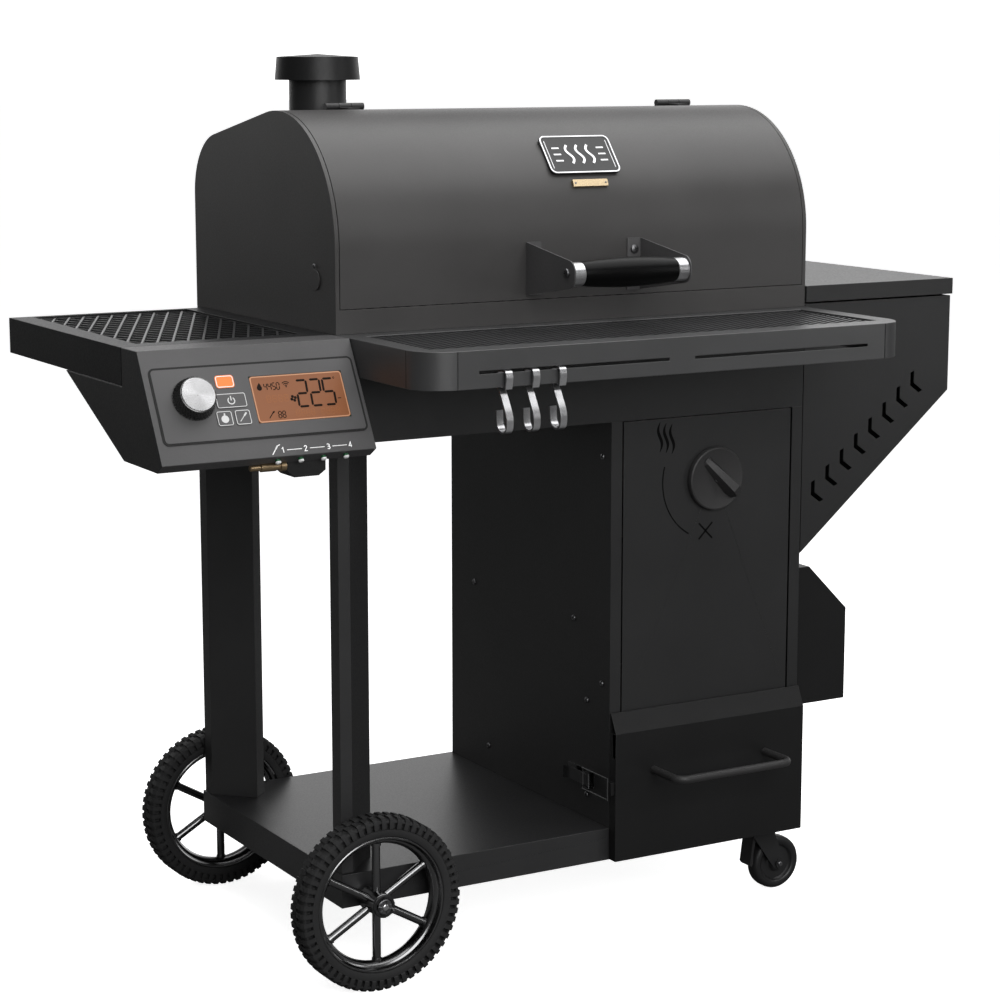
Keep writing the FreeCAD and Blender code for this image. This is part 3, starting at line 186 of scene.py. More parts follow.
M = {
    "coat": surface("powder_coat", (0.0155, 0.0155, 0.0158), 0.42, relief=0.3, specular=0.36),
    # A darker copy of the powder coat: on the blower housing and drawer front its darkness is painted
    # shade; the chimney cap shares it.
    "dark": surface("dark_coat_painted_shade", (0.007, 0.007, 0.0072), 0.44, relief=0.3, specular=0.25),
    "frame": surface("frame_coat", (0.024, 0.024, 0.0244), 0.42, relief=0.3, specular=0.36),
    "matt": surface("matt_coat", (0.0115, 0.0115, 0.012), 0.45, relief=0.25, specular=0.14),
    "tray": surface("tray_coat", (0.0145, 0.0145, 0.0152), 0.4, relief=0.25, specular=0.65),
    "shelf": surface("shelf_coat", (0.031, 0.0312, 0.032), 0.4, relief=0.25, specular=0.7),
    "mesh": surface("mesh_coat", (0.02, 0.0202, 0.021), 0.4, relief=0.2, specular=0.5),
    "lid": surface("lid_coat", (0.032, 0.0307, 0.0303), 0.42, relief=0.25, specular=0.45),
    # The housing's coat made brighter: painted light from above-front on the controller's sloped front
    # and top; the lid handle brackets share it.
    "fascia": surface("fascia_coat", (0.056, 0.055, 0.056), 0.5, relief=0.4, grain=300),
    "plate": surface("fascia_plate", (0.062, 0.061, 0.062), 0.55, relief=0.12, grain=700),
    # Black for the cable boot and the shelf's butt joints, and painted shade in the plate's groove, the
    # screws' cross recesses and the sockets' holes.
    "black": surface("black_and_painted_shade", (0.004, 0.004, 0.004), 0.7, relief=0.1),
    "print_dark": surface("print_dark", (0.003, 0.003, 0.003), 0.8, relief=0.05, specular=0.05),
    "print_light": surface("print_light", (0.8, 0.8, 0.8), 0.6, relief=0.05, vary=0.03),
    "print_grey": surface("print_grey", (0.52, 0.52, 0.52), 0.6, relief=0.05, vary=0.05),
    "screen": glowing(surface("screen_amber", (0.17, 0.062, 0.024), 0.35, vary=0.05, relief=0.02,
                              specular=0.3), (0.3, 0.1, 0.03), 0.12),
    "screen_edge": glowing(surface("screen_edge", (0.4, 0.2, 0.11), 0.4, vary=0.04, relief=0.02),
                           (0.5, 0.25, 0.13), 0.08),
    "screen_ink": surface("screen_ink", (0.008, 0.004, 0.002), 0.5, relief=0.02, specular=0.08),
    "screen_ghost": surface("screen_ghost", (0.24, 0.08, 0.02), 0.4, relief=0.02, vary=0.04),
    "orange": surface("orange_enamel", (0.8, 0.19, 0.04), 0.4, vary=0.04, relief=0.03),
    "knurl": surface("knob_skirt", (0.006, 0.006, 0.006), 0.26, relief=0.03, specular=1.0),
    "brushed": surface("brushed_steel", (0.55, 0.55, 0.56), 0.3, vary=0.06, grain=900, relief=0.12,
                       depth=0.0001, metallic=1.0, stretch=(1, 14, 14)),
    "plated": surface("plated_steel", (0.16, 0.16, 0.165), 0.38, vary=0.15, grain=300, relief=0.1,
                      metallic=1.0),
    # A darker brass: painted shade on the probe plug, which sits under the controller's lip.
    "shaded_brass": surface("brass_painted_shade", (0.3, 0.22, 0.13), 0.35, vary=0.25, relief=0.1, metallic=1.0),
    "brass": surface("brass", (0.56, 0.44, 0.28), 0.3, vary=0.12, relief=0.08, metallic=1.0),
    "gloss_black": surface("gloss_black", (0.0012, 0.0012, 0.0013), 0.34, relief=0.02, grain=300,
                           specular=0.1),
    "rim": surface("rim_gloss", (0.16, 0.16, 0.162), 0.2, vary=0.1, patch=5, grain=12, relief=0.0,
                   metallic=1.0),
    "satin": surface("satin_black", (0.012, 0.012, 0.0125), 0.42, relief=0.1, specular=0.4),
    "moulded": surface("moulded_plastic", (0.023, 0.0225, 0.0228), 0.5, relief=0.12, specular=0.35),
    "rubber": surface("tyre_rubber", (0.02, 0.02, 0.0205), 0.72, vary=0.2, grain=260, relief=0.35,
                      specular=0.25),
    "tread": surface("caster_tread", (0.009, 0.009, 0.0095), 0.5, vary=0.15, relief=0.15),
    "iron": surface("enamelled_iron", (0.018, 0.018, 0.018), 0.4, vary=0.2, grain=200, relief=0.4),
    "raw": surface("raw_sheet", (0.3, 0.29, 0.28), 0.42, vary=0.15, patch=14, metallic=1.0,
                   relief=0.1, stretch=(1, 6, 1)),
    "board": surface("circuit_board", (0.01, 0.09, 0.03), 0.5, vary=0.3, patch=90),
}


def spun_metal(name):
    """Bright metal with fine rings, turned about the object's own Z axis."""
    material, shader, coords = new_material(name)
    links = material.node_tree.links
    rings = add_node(material, "ShaderNodeTexWave", wave_type="RINGS", rings_direction="Z",
                     Scale=900.0, Distortion=0.6, Detail=1.0)
    links.new(coords, rings.inputs["Vector"])
    tint = ramp(material, rings.outputs["Fac"], [(0, (0.36, 0.36, 0.365)), (1, (0.5, 0.5, 0.505))])
    links.new(tint, shader.inputs["Base Color"])
    shader.inputs["Metallic"].default_value = 1.0
    shader.inputs["Roughness"].default_value = 0.27
    shader.inputs["Anisotropic"].default_value = 0.75
    tangent = add_node(material, "ShaderNodeTangent", direction_type="RADIAL", axis="Z")
    links.new(tangent.outputs["Tangent"], shader.inputs["Tangent"])
    return material


M["spun"] = spun_metal("spun_aluminium")

# --- CAD nodes that keep their shape ---

CREASE = 28
PART_WELD = 2e-5


def sharpen(mesh, crease):
    """Marks the edges where two faces meet at an angle; coincident corners count as one."""
    if "custom_normal" in mesh.attributes:
        mesh.attributes.remove(mesh.attributes["custom_normal"])
    spots = [tuple(round(c * 1e5) for c in v.co) for v in mesh.vertices]
    normals = {}
    for face in mesh.polygons:
        face.use_smooth = True
        for a, b in face.edge_keys:
            key = tuple(sorted((spots[a], spots[b])))
            normals.setdefault(key, []).append(face.normal.copy())
    for edge in mesh.edges:
        key = tuple(sorted(spots[corner] for corner in edge.vertices))
        sides = normals.get(key, [])
        edge.use_edge_sharp = len(sides) > 1 and any(
            sides[0].angle(other, 0) > crease for other in sides[1:])


def soften(obj, width, weld=False):
    """Small rounded edges, a width in millimetres, so that they catch the light."""
    if weld:
        merge = obj.modifiers.new("Weld", "WELD")
        merge.merge_threshold = PART_WELD
    bevel = obj.modifiers.new("Bevel", "BEVEL")
    bevel.width = width * MM
    bevel.segments = 2
    bevel.limit_method = "ANGLE"
    bevel.angle_limit = math.radians(40)
    bevel.harden_normals = True
    bevel.use_clamp_overlap = True


def dress(names, material, width=0.6, crease=CREASE):
    """Gives CAD nodes a material and soft edges; a crease in degrees splits the shading."""
    for name in names.split():
        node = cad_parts[name]
        node.data.materials.clear()
        node.data.materials.append(M[material])
        sharpen(node.data, math.radians(crease))
        if width:
            soften(node, width, weld=True)


def paint_sides(name, material):
    """Gives the end faces, underside and back of a CAD node a second material."""
    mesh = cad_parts[name].data
    mesh.materials.append(M[material])
    # Sorting the faces by which way they look paints light and shade: faces turned to the light keep
    # the brighter first material.
    for face in mesh.polygons:
        end = abs(face.normal.x) > 0.9
        underside = face.normal.z < -0.85
        back = face.normal.y > 0.3
        if end or underside or back:
            face.material_index = 1


dress("hinge_leaves_fixed chimney_pipe", "coat", 0.7)
dress("chimney_cap", "dark", 0.7)
dress("cook_tub hopper_case pedestal_shell pedestal_front_panel hopper_lid", "coat", 0.7)
dress("cart_legs", "frame", 0.8)
# The blower housing and drawer front take the darker coat: painted shade, as they sit low in shade.
dress("blower_housing", "dark", 0.8)
dress("drawer_front", "dark", 0.8, crease=12)
dress("front_shelf_frame", "shelf", 0.8)
dress("base_tray", "tray", 0.8)
dress("side_shelf_frame", "matt", 0.8)
dress("lid_shell hood_shell", "lid", 0.6)
dress("lid_handle_brackets", "fascia", 0.6)
dress("hinge_leaves_lid panel_screws caster_brake_pedal", "satin", 0.4)
dress("drawer_handle", "moulded", 0)
# The controller's front and top take the brighter coat, its ends, underside and back the plain coat:
# painted light by facing.
dress("controller_housing", "fascia", 1.0)
paint_sides("controller_housing", "coat")
dress("controller_faceplate power_button timer_button probe_button", "plate", 0.4)
dress("latch_base latch_lever latch_bail", "rim", 0.3)
dress("caster_plates", "satin", 0.3)
dress("caster_fork_front caster_fork_rear", "satin", 0.4)
dress("sear_damper auger_screw fan_wheel auger_motor", "plated", 0)
dress("cooking_grates", "iron", 1.0)
dress("drip_tray heat_deflector burner_housing fire_pot pellet_funnel ash_bin", "raw", 0)
dress("control_board", "board", 0)

# --- mesh building ---


def prism(bm, outline, low, high):
    """A solid between two heights of the local Z axis."""
    rings = [[bm.verts.new((x, y, z)) for x, y in outline] for z in (low, high)]
    bm.faces.new(list(reversed(rings[0])))
    bm.faces.new(rings[1])
    count = len(outline)
    for i in range(count):
        j = (i + 1) % count
        bm.faces.new((rings[0][i], rings[0][j], rings[1][j], rings[1][i]))


def bridge(bm, one, other):
    """Faces between two rings; a ring of one corner closes to a point."""
    if len(one) == 1 and len(other) == 1:
        return
    count = max(len(one), len(other))
    for i in range(count):
        j = (i + 1) % count
        corners = [one[i % len(one)], one[j % len(one)], other[j % len(other)],
                   other[i % len(other)]]
        unique = list(dict.fromkeys(corners))
        bm.faces.new(unique)


def lathe(bm, profile, steps=64, closed=False, wobble=None):
    """Turns (radius, height) corners about the local Z axis."""
    rings = []
    for index, (radius, height) in enumerate(profile):
        if radius < 1e-6:
            rings.append([bm.verts.new((0, 0, height))])
            continue
        ring = []
        for step in range(steps):
            angle = 2 * math.pi * step / steps
            r = radius + (wobble(index, step) if wobble else 0)
            ring.append(bm.verts.new((r * math.cos(angle), r * math.sin(angle), height)))
        rings.append(ring)
    pairs = list(zip(rings, rings[1:]))
    if closed:
        pairs.append((rings[-1], rings[0]))
    for one, other in pairs:
        bridge(bm, one, other)


def tube(bm, points, radius, steps=12):
    """A round rod through points."""
    points = [Vector(p) for p in points]
    side = None
    rings = []
    for i, point in enumerate(points):
        ahead = points[min(i + 1, len(points) - 1)] - points[max(i - 1, 0)]
        ahead.normalize()
        if side is None:
            side = ahead.orthogonal().normalized()
        side = (side - ahead * side.dot(ahead)).normalized()
        other = ahead.cross(side)
        rings.append([bm.verts.new(point + radius * (side * math.cos(a) + other * math.sin(a)))
                      for a in (2 * math.pi * k / steps for k in range(steps))])
    for one, two in zip(rings, rings[1:]):
        bridge(bm, one, two)
    bm.faces.new(list(reversed(rings[0])))
    bm.faces.new(rings[-1])


def placed(bm, matrix, draw, *sizes, **options):
    """Draws into a mesh and moves only what was drawn."""
    start = len(bm.verts)
    draw(bm, *sizes, **options)
    bm.verts.ensure_lookup_table()
    bmesh.ops.transform(bm, matrix=matrix, verts=bm.verts[start:])


SHORTEST_MITRE = 0.35


def stroke(bm, points, width, low, high, closed=False):
    """A flat line of even width through 2-D points, with mitred corners."""
    points = [Vector(p) for p in points]
    count = len(points)
    left, right = [], []
    for i, point in enumerate(points):
        before = points[i - 1] if (closed or i > 0) else None
        after = points[(i + 1) % count] if (closed or i < count - 1) else None
        into = (point - before).normalized() if before is not None else None
        out = (after - point).normalized() if after is not None else None
        along = ((into or out) + (out or into)).normalized()
        normal = Vector((-along.y, along.x))
        edge = into or out
        stretch = 1 / max(SHORTEST_MITRE, normal.dot(Vector((-edge.y, edge.x))))
        left.append(point + normal * width / 2 * stretch)
        right.append(point - normal * width / 2 * stretch)
    spans = count if closed else count - 1
    for i in range(spans):
        j = (i + 1) % count
        prism(bm, [right[i], right[j], left[j], left[i]], low, high)


def rounded(x0, x1, y0, y1, radius, steps=5):
    """Corners of a rounded rectangle."""
    outline = []
    for cx, cy, start in ((x1 - radius, y0 + radius, -90), (x1 - radius, y1 - radius, 0),
                          (x0 + radius, y1 - radius, 90), (x0 + radius, y0 + radius, 180)):
        for step in range(steps + 1):
            angle = math.radians(start + 90 * step / steps)
            outline.append((cx + radius * math.cos(angle), cy + radius * math.sin(angle)))
    return outline


def arc(cx, cy, radius, start, end, steps=16):
    """Points of an arc, angles in degrees."""
    return [(cx + radius * math.cos(math.radians(start + (end - start) * k / steps)),
             cy + radius * math.sin(math.radians(start + (end - start) * k / steps)))
            for k in range(steps + 1)]


def piece(name, bm, place, material, body="cart", replaces=(), slot=None, width=0, local=False,
          merge=True):
    """Turns a bmesh into a piece that rides on a body; a local one keeps its own axes."""
    if merge:
        bmesh.ops.remove_doubles(bm, verts=bm.verts, dist=1e-4)
    bmesh.ops.recalc_face_normals(bm, faces=bm.faces)
    mesh = bpy.data.meshes.new(name)
    if not local:
        bmesh.ops.transform(bm, matrix=place, verts=bm.verts)
    bm.to_mesh(mesh)
    bm.free()
    for face in mesh.polygons:
        face.use_smooth = True
    mesh.set_sharp_from_angle(angle=math.radians(CREASE))
    mesh.materials.append(M[material])
    obj = bpy.data.objects.new(name, mesh)
    bpy.context.scene.collection.objects.link(obj)
    if local:
        obj.matrix_world = place
    if width:
        soften(obj, width)
    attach(obj, body)
    if replaces:
        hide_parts(*replaces)
    return obj


# --- shelf meshes ---


SHORTEST_STRAND = 2


def clip(line, x0, x1, y0, y1):
    """The part of a line (point, direction) inside a rectangle, or None."""
    (px, py), (dx, dy) = line
    low, high = -1e9, 1e9
    for p, d, a, b in ((px, dx, x0, x1), (py, dy, y0, y1)):
        if abs(d) < 1e-9:
            if not a <= p <= b:
                return None
            continue
        t0, t1 = sorted(((a - p) / d, (b - p) / d))
        low, high = max(low, t0), min(high, t1)
    if high - low < SHORTEST_STRAND:
        return None
    return (px + dx * low, py + dy * low), (px + dx * high, py + dy * high)


def strands(bm, window, direction, spacing, width, low, high):
    """Parallel flat bars that fill a window."""
    x0, x1, y0, y1 = window
    dx, dy = direction
    normal = Vector((-dy, dx))
    reach = (x1 - x0) + (y1 - y0)
    middle = Vector(((x0 + x1) / 2, (y0 + y1) / 2))
    for k in range(-int(reach / spacing), int(reach / spacing) + 1):
        start = middle + normal * spacing * k
        ends = clip(((start.x, start.y), direction), x0, x1, y0, y1)
        if ends:
            stroke(bm, ends, width, low, high)


def expanded_metal(name, window, main, cross):
    """Raised main strands, lower cross strands (each a direction, spacing, width) and a border."""
    bm = bmesh.new()
    strands(bm, window, *main, 913.0, 915.8)
    strands(bm, window, *cross, 912.2, 914.4)
    x0, x1, y0, y1 = window
    rim = 5
    for border in ((x0, x1, y0, y0 + rim), (x0, x1, y1 - rim, y1),
                   (x0, x0 + rim, y0, y1), (x1 - rim, x1, y0, y1)):
        prism(bm, rounded(*border, 1, 1), 912.0, 915.6)
    return piece(name, bm, CART, "mesh", replaces=["shelf_meshes"], slot="mesh_coat", merge=False)


expanded_metal("side_shelf_mesh", (-272, -32, 40, 430), ((0.418, 0.908), 19.8, 3.0),
               ((-0.493, 0.87), 22.5, 2.6))
expanded_metal("front_shelf_mesh", (28, 752, -212, -28), ((0.87, 0.493), 10.8, 4.2),
               ((0.908, -0.418), 19.8, 2.4))

# --- utensil hooks ---


def smooth_path(points, steps=6):
    """Catmull-Rom samples through 2-D points."""
    points = [Vector(p) for p in points]
    ends = [points[0] * 2 - points[1]] + points + [points[-1] * 2 - points[-2]]
    samples = []
    for a, b, c, d in zip(ends, ends[1:], ends[2:], ends[3:]):
        for k in range(steps):
            t = k / steps
            samples.append(0.5 * (2 * b + (c - a) * t + (2 * a - 5 * b + 4 * c - d) * t * t
                                  + (3 * b - a - 3 * c + d) * t * t * t))
    return samples + [points[-1]]


def make_hook(number):
    """S-hook of bright flat strip that hangs through the shelf's slot."""
    node = f"utensil_hook_{number}"
    low, high = cart_box(node)
    front = SHELF_FRONT
    half = 1.25
    path = smooth_path([
        (front - 4.4, 866), (front - 6.4, 873), (front - 7.2, 881), (front - 5, 887.6),
        (front, 889), (front + 7, 889), (front + 13.5, 887), (front + 16.4, 880),
        (front + 14.5, 869), (front + 4, 851), (front - 6.2, 833), (front - 8.2, 822),
        (front - 6, 812.5), (front + 2, 808.2), (front + 11, 810), (front + 16.8, 817),
        (front + 18.4, 826), (front + 18.8, 836)])
    bm = bmesh.new()
    rings = []
    for k, point in enumerate(path):
        ahead = (path[min(k + 1, len(path) - 1)] - path[max(k - 1, 0)]).normalized()
        side = Vector((-ahead.y, ahead.x)) * half
        rings.append([bm.verts.new((x, *(point + sign * side)))
                      for x, sign in ((low.x, 1), (high.x, 1), (high.x, -1), (low.x, -1))])
    for one, other in zip(rings, rings[1:]):
        bridge(bm, one, other)
    bm.faces.new(rings[0])
    bm.faces.new(list(reversed(rings[-1])))
    piece(f"hook_strip_{number}", bm, CART, "brushed", f"hook_{number}", [node], "bright_steel",
          merge=False)


for hook_number in (1, 2, 3):
    make_hook(hook_number)

# --- lid handle and badge ---


def make_handle():
    """Turned grip with its ferrules."""
    low, high = cart_box("lid_grip")
    middle = (low + high) / 2
    span = high.x - low.x
    place = facing(low.x, middle.y, middle.z, "+X")
    collar = 18
    profile = [(0, collar - 1), (15.5, collar - 1), (16.3, collar)]
    for k in range(1, 20):
        t = k / 20
        profile.append((16.4 + 4.2 * math.sin(math.pi * t) ** 0.8, collar + (span - 2 * collar) * t))
    profile += [(16.3, span - collar), (15.5, span - collar + 1), (0, span - collar + 1)]
    bm = bmesh.new()
    lathe(bm, profile, 72)
    piece("grip_body", bm, place, "gloss_black", "lid", ["lid_grip"], "grip_lacquer")
    bm = bmesh.new()
    for start, end in ((0, collar), (span - collar, span)):
        lathe(bm, [(0, start), (15.2, start), (16.4, start + 1.2), (16.4, end - 1.2), (15.6, end),
                   (0, end)], 72)
    piece("grip_ferrules", bm, place, "brushed", "lid", ["lid_grip"], "bright_steel")


def screw_head(bm, radius, height):
    """A domed head."""
    lathe(bm, [(radius, 0), (radius, height * 0.35), (radius * 0.86, height * 0.75),
               (radius * 0.5, height * 0.97), (0, height)], 24)


def screws(name, spots, way, radius, height, material="satin", body="cart", replaces=(), slot=None):
    """A group of screws on one plane, each with a dark cross on its head, painted shade of its cross
    recess.
    """
    heads = bmesh.new()
    crosses = bmesh.new()
    for x, y, z in spots:
        place = CART.inverted() @ facing(x, y, z, way)
        placed(heads, place, screw_head, radius, height)
        for angle in (0.3, 0.3 + math.pi / 2):
            tip = radius * 0.5 * Vector((math.cos(angle), math.sin(angle)))
            placed(crosses, place, stroke, [-tip, tip], radius * 0.2, height * 0.8, height * 1.01)
    piece(name, heads, CART, material, body, replaces, slot, merge=False)
    piece(name + "_recess", crosses, CART, "black", body, merge=False)


def make_badge():
    """A plain plate with a bright rim, three heat waves, and a brass strip below."""
    place = on_lid(407.6, 50.3)
    bm = bmesh.new()
    prism(bm, rounded(-58, 58, -33, 33, 9), 0, 3)
    piece("badge_plate", bm, place, "satin", "lid", ["name_plate"], "badge_metal", width=0.5)
    bm = bmesh.new()
    stroke(bm, rounded(-56.6, 56.6, -31.6, 31.6, 8), 2.0, 2.5, 3.7, closed=True)
    for side in (-1, 1):
        stroke(bm, [(side * 51, -24), (side * 51, 24)], 0.9, 2.5, 3.3)
    for k in (-1, 0, 1):
        wave = [(17 * k + 4.2 * math.sin(2 * math.pi * t / 14), -16 + 32 * t / 14)
                for t in range(15)]
        stroke(bm, wave, 3.6, 2.5, 3.5)
    for side in (-1, 1):
        for level in (-11, 0, 11):
            stroke(bm, [(side * 31, level), (side * 43, level)], 2.4, 2.5, 3.4)
    piece("badge_relief", bm, place, "brushed", "lid", merge=False)
    place = on_lid(410, 65)
    bm = bmesh.new()
    prism(bm, rounded(-29, 29, -5.5, 5.5, 1.5), -0.5, 4.5)
    piece("badge_strip", bm, place, "brass", "lid", width=0.6)
    bm = bmesh.new()
    for x in (-25, 25):
        placed(bm, Matrix.Translation((x, 0, 0)), lathe, [(1.6, 4.4), (1.6, 4.8), (0, 5.2)], 12)
    piece("badge_rivets", bm, place, "plated", "lid", merge=False)


make_handle()
screws("bracket_bolts_left", [(296, -110, 997)], "-X", 6.5, 3.4, "plated", "lid")
screws("bracket_bolts_right", [(487, -110, 997)], "+X", 6.5, 3.4, "plated", "lid")
screws("bracket_foot_bolts", [(474.5, -2, 1016), (474.5, -2, 974), (309.5, -2, 1016),
                              (309.5, -2, 974)], "-Y", 6.5, 4, "plated", "lid")
make_badge()

# --- controller ---


def on_fascia(name, draw, material, **options):
    """A piece drawn on the fascia: X along it, Y up it, Z out of it."""
    bm = bmesh.new()
    draw(bm)
    return piece(name, bm, FASCIA, material, merge=False, **options)


KNOB = (-242, 85.5)
TEETH = 40


def make_knob():
    """Knurled black skirt and a spun metal face."""
    place = FASCIA @ Matrix.Translation((*KNOB, 0))
    base = [(28.2, 2.2), (28.6, 3.2)]
    ridged = [(29.4 - 0.5 * k, 3.8 + 2.1 * k) for k in range(8)]
    profile = [(0, 2.2)] + base + ridged + [(24.2, 20.2), (23.2, 20.6), (0, 20.6)]
    first = 1 + len(base)

    def wobble(index, step):
        """Slanted ridges round the skirt's ridged rings."""
        if not first <= index < first + len(ridged):
            return 0
        phase = 2 * math.pi * (step / 4 + 0.25 * (index - first))
        return -1.2 + 1.2 * math.sin(phase)

    bm = bmesh.new()
    lathe(bm, profile, TEETH * 4, wobble=wobble)
    piece("knob_skirt", bm, place, "knurl", "control_knob", ["control_knob"], "knob_metal")
    bm = bmesh.new()
    rings = [(r, 21.5) for r in (22.4, 19, 15, 11, 7, 4, 2, 1, 0)]
    lathe(bm, [(0, 20.4), (23.0, 20.4), (23.0, 21.0)] + rings, 96)
    piece("knob_face", bm, place, "spun", "control_knob", ["control_knob"], "knob_metal",
          local=True)


SEGMENTS = {"0": "abcdef", "2": "abged", "4": "fgbc", "5": "afgcd", "8": "abcdefg"}


def seven_segment(bm, text, x, y, width, height, gap, weight, low, high, lean=0.06):
    """Digits made of seven bars each."""
    for number, digit in enumerate(text):
        left = x + number * (width + gap)
        half = height / 2
        ends = {
            "a": ((0, height), (width, height)), "g": ((0, half), (width, half)),
            "d": ((0, 0), (width, 0)), "f": ((0, half), (0, height)),
            "b": ((width, half), (width, height)), "e": ((0, 0), (0, half)),
            "c": ((width, 0), (width, half)),
        }
        for key in SEGMENTS[digit]:
            (ax, ay), (bx, by) = ends[key]
            a = Vector((left + ax + lean * ay, y + ay))
            b = Vector((left + bx + lean * by, y + by))
            along = (b - a).normalized()
            side = Vector((-along.y, along.x)) * weight / 2
            inset = along * weight * 0.16
            a, b = a + inset, b - inset
            tip = along * weight / 2
            prism(bm, [a, a + tip - side, b - tip - side, b, b - tip + side, a + tip + side],
                  low, high)


SCREEN = (-159, -27, 47.5, 112)
SCREEN_TOP = 1.4


def make_screen():
    """Amber liquid-crystal screen with its lighter border, figures and icons."""
    x0, x1, y0, y1 = SCREEN
    on_fascia("screen_panel", lambda bm: prism(bm, rounded(x0, x1, y0, y1, 4), -2, SCREEN_TOP),
              "screen", replaces=["display_lens"], slot="screen")
    on_fascia("screen_border", lambda bm: stroke(
        bm, rounded(x0 + 1, x1 - 1, y0 + 1, y1 - 1, 3.5), 1.6, 0.5, SCREEN_TOP + 0.25, True),
        "screen_edge", slot="screen")
    low, high = SCREEN_TOP - 0.2, SCREEN_TOP + 0.12

    def figures(bm):
        """Temperature, clock and timer figures, then the icons."""
        seven_segment(bm, "225", -97, 66, 14.6, 36.5, 4.6, 3.1, low, high)
        seven_segment(bm, "4450", -141, 92, 4.0, 9.4, 1.9, 1.3, low, high)
        seven_segment(bm, "88", -129.5, 52.5, 4.0, 9, 1.9, 1.3, low, high)
        # probe
        stroke(bm, [(-143, 53), (-136, 61)], 1.3, low, high)
        stroke(bm, [(-136.6, 60.4), (-134, 62)], 2.2, low, high)
        # flame
        prism(bm, arc(-147.5, 95.5, 3.6, 150, 390, 12) + [(-146.5, 103), (-149, 100)], low, high)
        # radio signal
        for radius in (2.2, 4.6, 7):
            stroke(bm, arc(-109.5, 95, radius, 45, 135, 8), 1.2, low, high)
        prism(bm, arc(-109.5, 95, 1.0, 0, 330, 8), low, high)
        # fan
        for quarter in range(4):
            a = math.radians(quarter * 90 + 20)
            prism(bm, arc(-103 + 2.9 * math.cos(a), 78 + 2.9 * math.sin(a), 2.1, 0, 330, 10), low, high)
        # degree sign
        stroke(bm, arc(-39.5, 103, 1.2, 0, 360, 10), 0.7, low, high)
        stroke(bm, [(-40, 74), (-35, 74)], 1.1, low, high)

    def ghosts(bm):
        """Unlit figures."""
        seven_segment(bm, "8888", -141, 75, 5.2, 9, 3.2, 0.9, low, high)
        seven_segment(bm, "8888", -104, 53, 4.6, 8.6, 2.6, 0.8, low, high)
        seven_segment(bm, "8888", -68, 53, 4.6, 8.6, 2.6, 0.8, low, high)

    on_fascia("screen_figures", figures, "screen_ink")
    on_fascia("screen_ghosts", ghosts, "screen_ghost")


def make_buttons():
    """Bright outlines and symbols of the three keys, and the plain orange mark."""
    spots = {"power_button": (-191, 81, 20.2, 9.2), "timer_button": (-205.2, 57, 9.9, 9.4),
             "probe_button": (-179.7, 57, 9.9, 9.4)}
    low, high = 2.5, 2.95
    for body, (x, y, half_x, half_y) in spots.items():
        bm = bmesh.new()
        stroke(bm, rounded(x - half_x, x + half_x, y - half_y, y + half_y, 2.4), 0.9, low, high,
               closed=True)
        if body == "power_button":
            stroke(bm, arc(x, y - 0.3, 4.6, 125, 415, 20), 1.4, low, high)
            stroke(bm, [(x, y), (x, y + 6.2)], 1.4, low, high)
        elif body == "timer_button":
            prism(bm, arc(x, y - 1, 5.2, 0, 345, 20), low, high)
            stroke(bm, [(x, y + 3.5), (x + 0.6, y + 7)], 2.0, low, high)
        else:
            stroke(bm, [(x - 5, y - 5.5), (x + 2, y + 2.2)], 1.0, low, high)
            stroke(bm, [(x + 1.6, y + 1.8), (x + 5.4, y + 6)], 2.2, low, high)
        piece(body + "_symbol", bm, FASCIA, "print_grey", body, merge=False)
    on_fascia("fascia_mark", lambda bm: prism(
        bm, rounded(-207, -181, 99, 116.5, 4), 1.4, 2.1), "orange")
    on_fascia("fascia_mark_edge", lambda bm: stroke(
        bm, rounded(-205.6, -182.4, 100.4, 115.1, 3), 0.9, 1.8, 2.3, True), "print_light")


def digit_lines(text, x, y, size):
    """Plain one-line figures 1 to 4."""
    shapes = {
        "1": [[(0.1, 0.75), (0.5, 1), (0.5, 0)]],
        "2": [[(0, 0.8), (0.2, 1), (0.6, 1), (0.75, 0.75), (0, 0), (0.8, 0)]],
        "3": [[(0, 0.9), (0.3, 1), (0.7, 0.85), (0.6, 0.58), (0.3, 0.52), (0.7, 0.42), (0.75, 0.15),
               (0.4, 0), (0, 0.1)]],
        "4": [[(0.6, 0), (0.6, 1), (0, 0.3), (0.85, 0.3)]],
    }
    return [[(x + px * size * 0.7, y + py * size) for px, py in line] for line in shapes[text]]


SOCKETS = (-139.8, -107.2, -74.6, -42)


def make_fascia_marks():
    """Groove round the plate, socket numbers and lines, and the sockets' rings."""
    # The groove is a black strip: painted shade of the gap round the plate.
    on_fascia("plate_groove", lambda bm: stroke(
        bm, rounded(-293.4, -7.6, 27.6, 130.9, 6.5), 3.0, -0.5, 1.1, True), "black")

    def numbers(bm):
        """Socket numbers, the lines between them and a probe."""
        for text, x in zip("1234", (-134.3, -101.9, -69.1, -37.8)):
            for line in digit_lines(text, x - 2, 5.2, 7):
                stroke(bm, line, 1.1, 0, 0.15)
        for x in (-128.5, -96, -63.5):
            stroke(bm, [(x, 8.6), (x + 21, 8.6)], 0.9, 0, 0.15)
        stroke(bm, [(-150, 3.5), (-141, 15), (-137, 16.5)], 1.2, 0, 0.15)
        stroke(bm, [(-144, 11), (-141, 15)], 2.0, 0, 0.15)

    on_fascia("socket_numbers", numbers, "print_light")
    rings, cores = bmesh.new(), bmesh.new()
    for x in SOCKETS:
        turn = Matrix.Translation((x, -3, -10.5)) @ Matrix.Rotation(math.pi / 2, 4, "X")
        for bm, profile, closed in (
                (rings, [(1.5, 0), (3.7, 0), (3.7, 1.8), (2.9, 2.5), (1.5, 2.5)], True),
                (cores, [(0, -1), (1.7, -1), (1.7, 1.2), (0, 1.2)], False)):
            placed(bm, turn, lathe, profile, 24, closed=closed)
    piece("socket_rings", rings, FASCIA, "print_light", merge=False)
    # The sockets' black cores are painted shade in their holes.
    piece("socket_cores", cores, FASCIA, "black", merge=False)


make_knob()
make_screen()
make_buttons()
make_fascia_marks()

# --- pedestal front ---


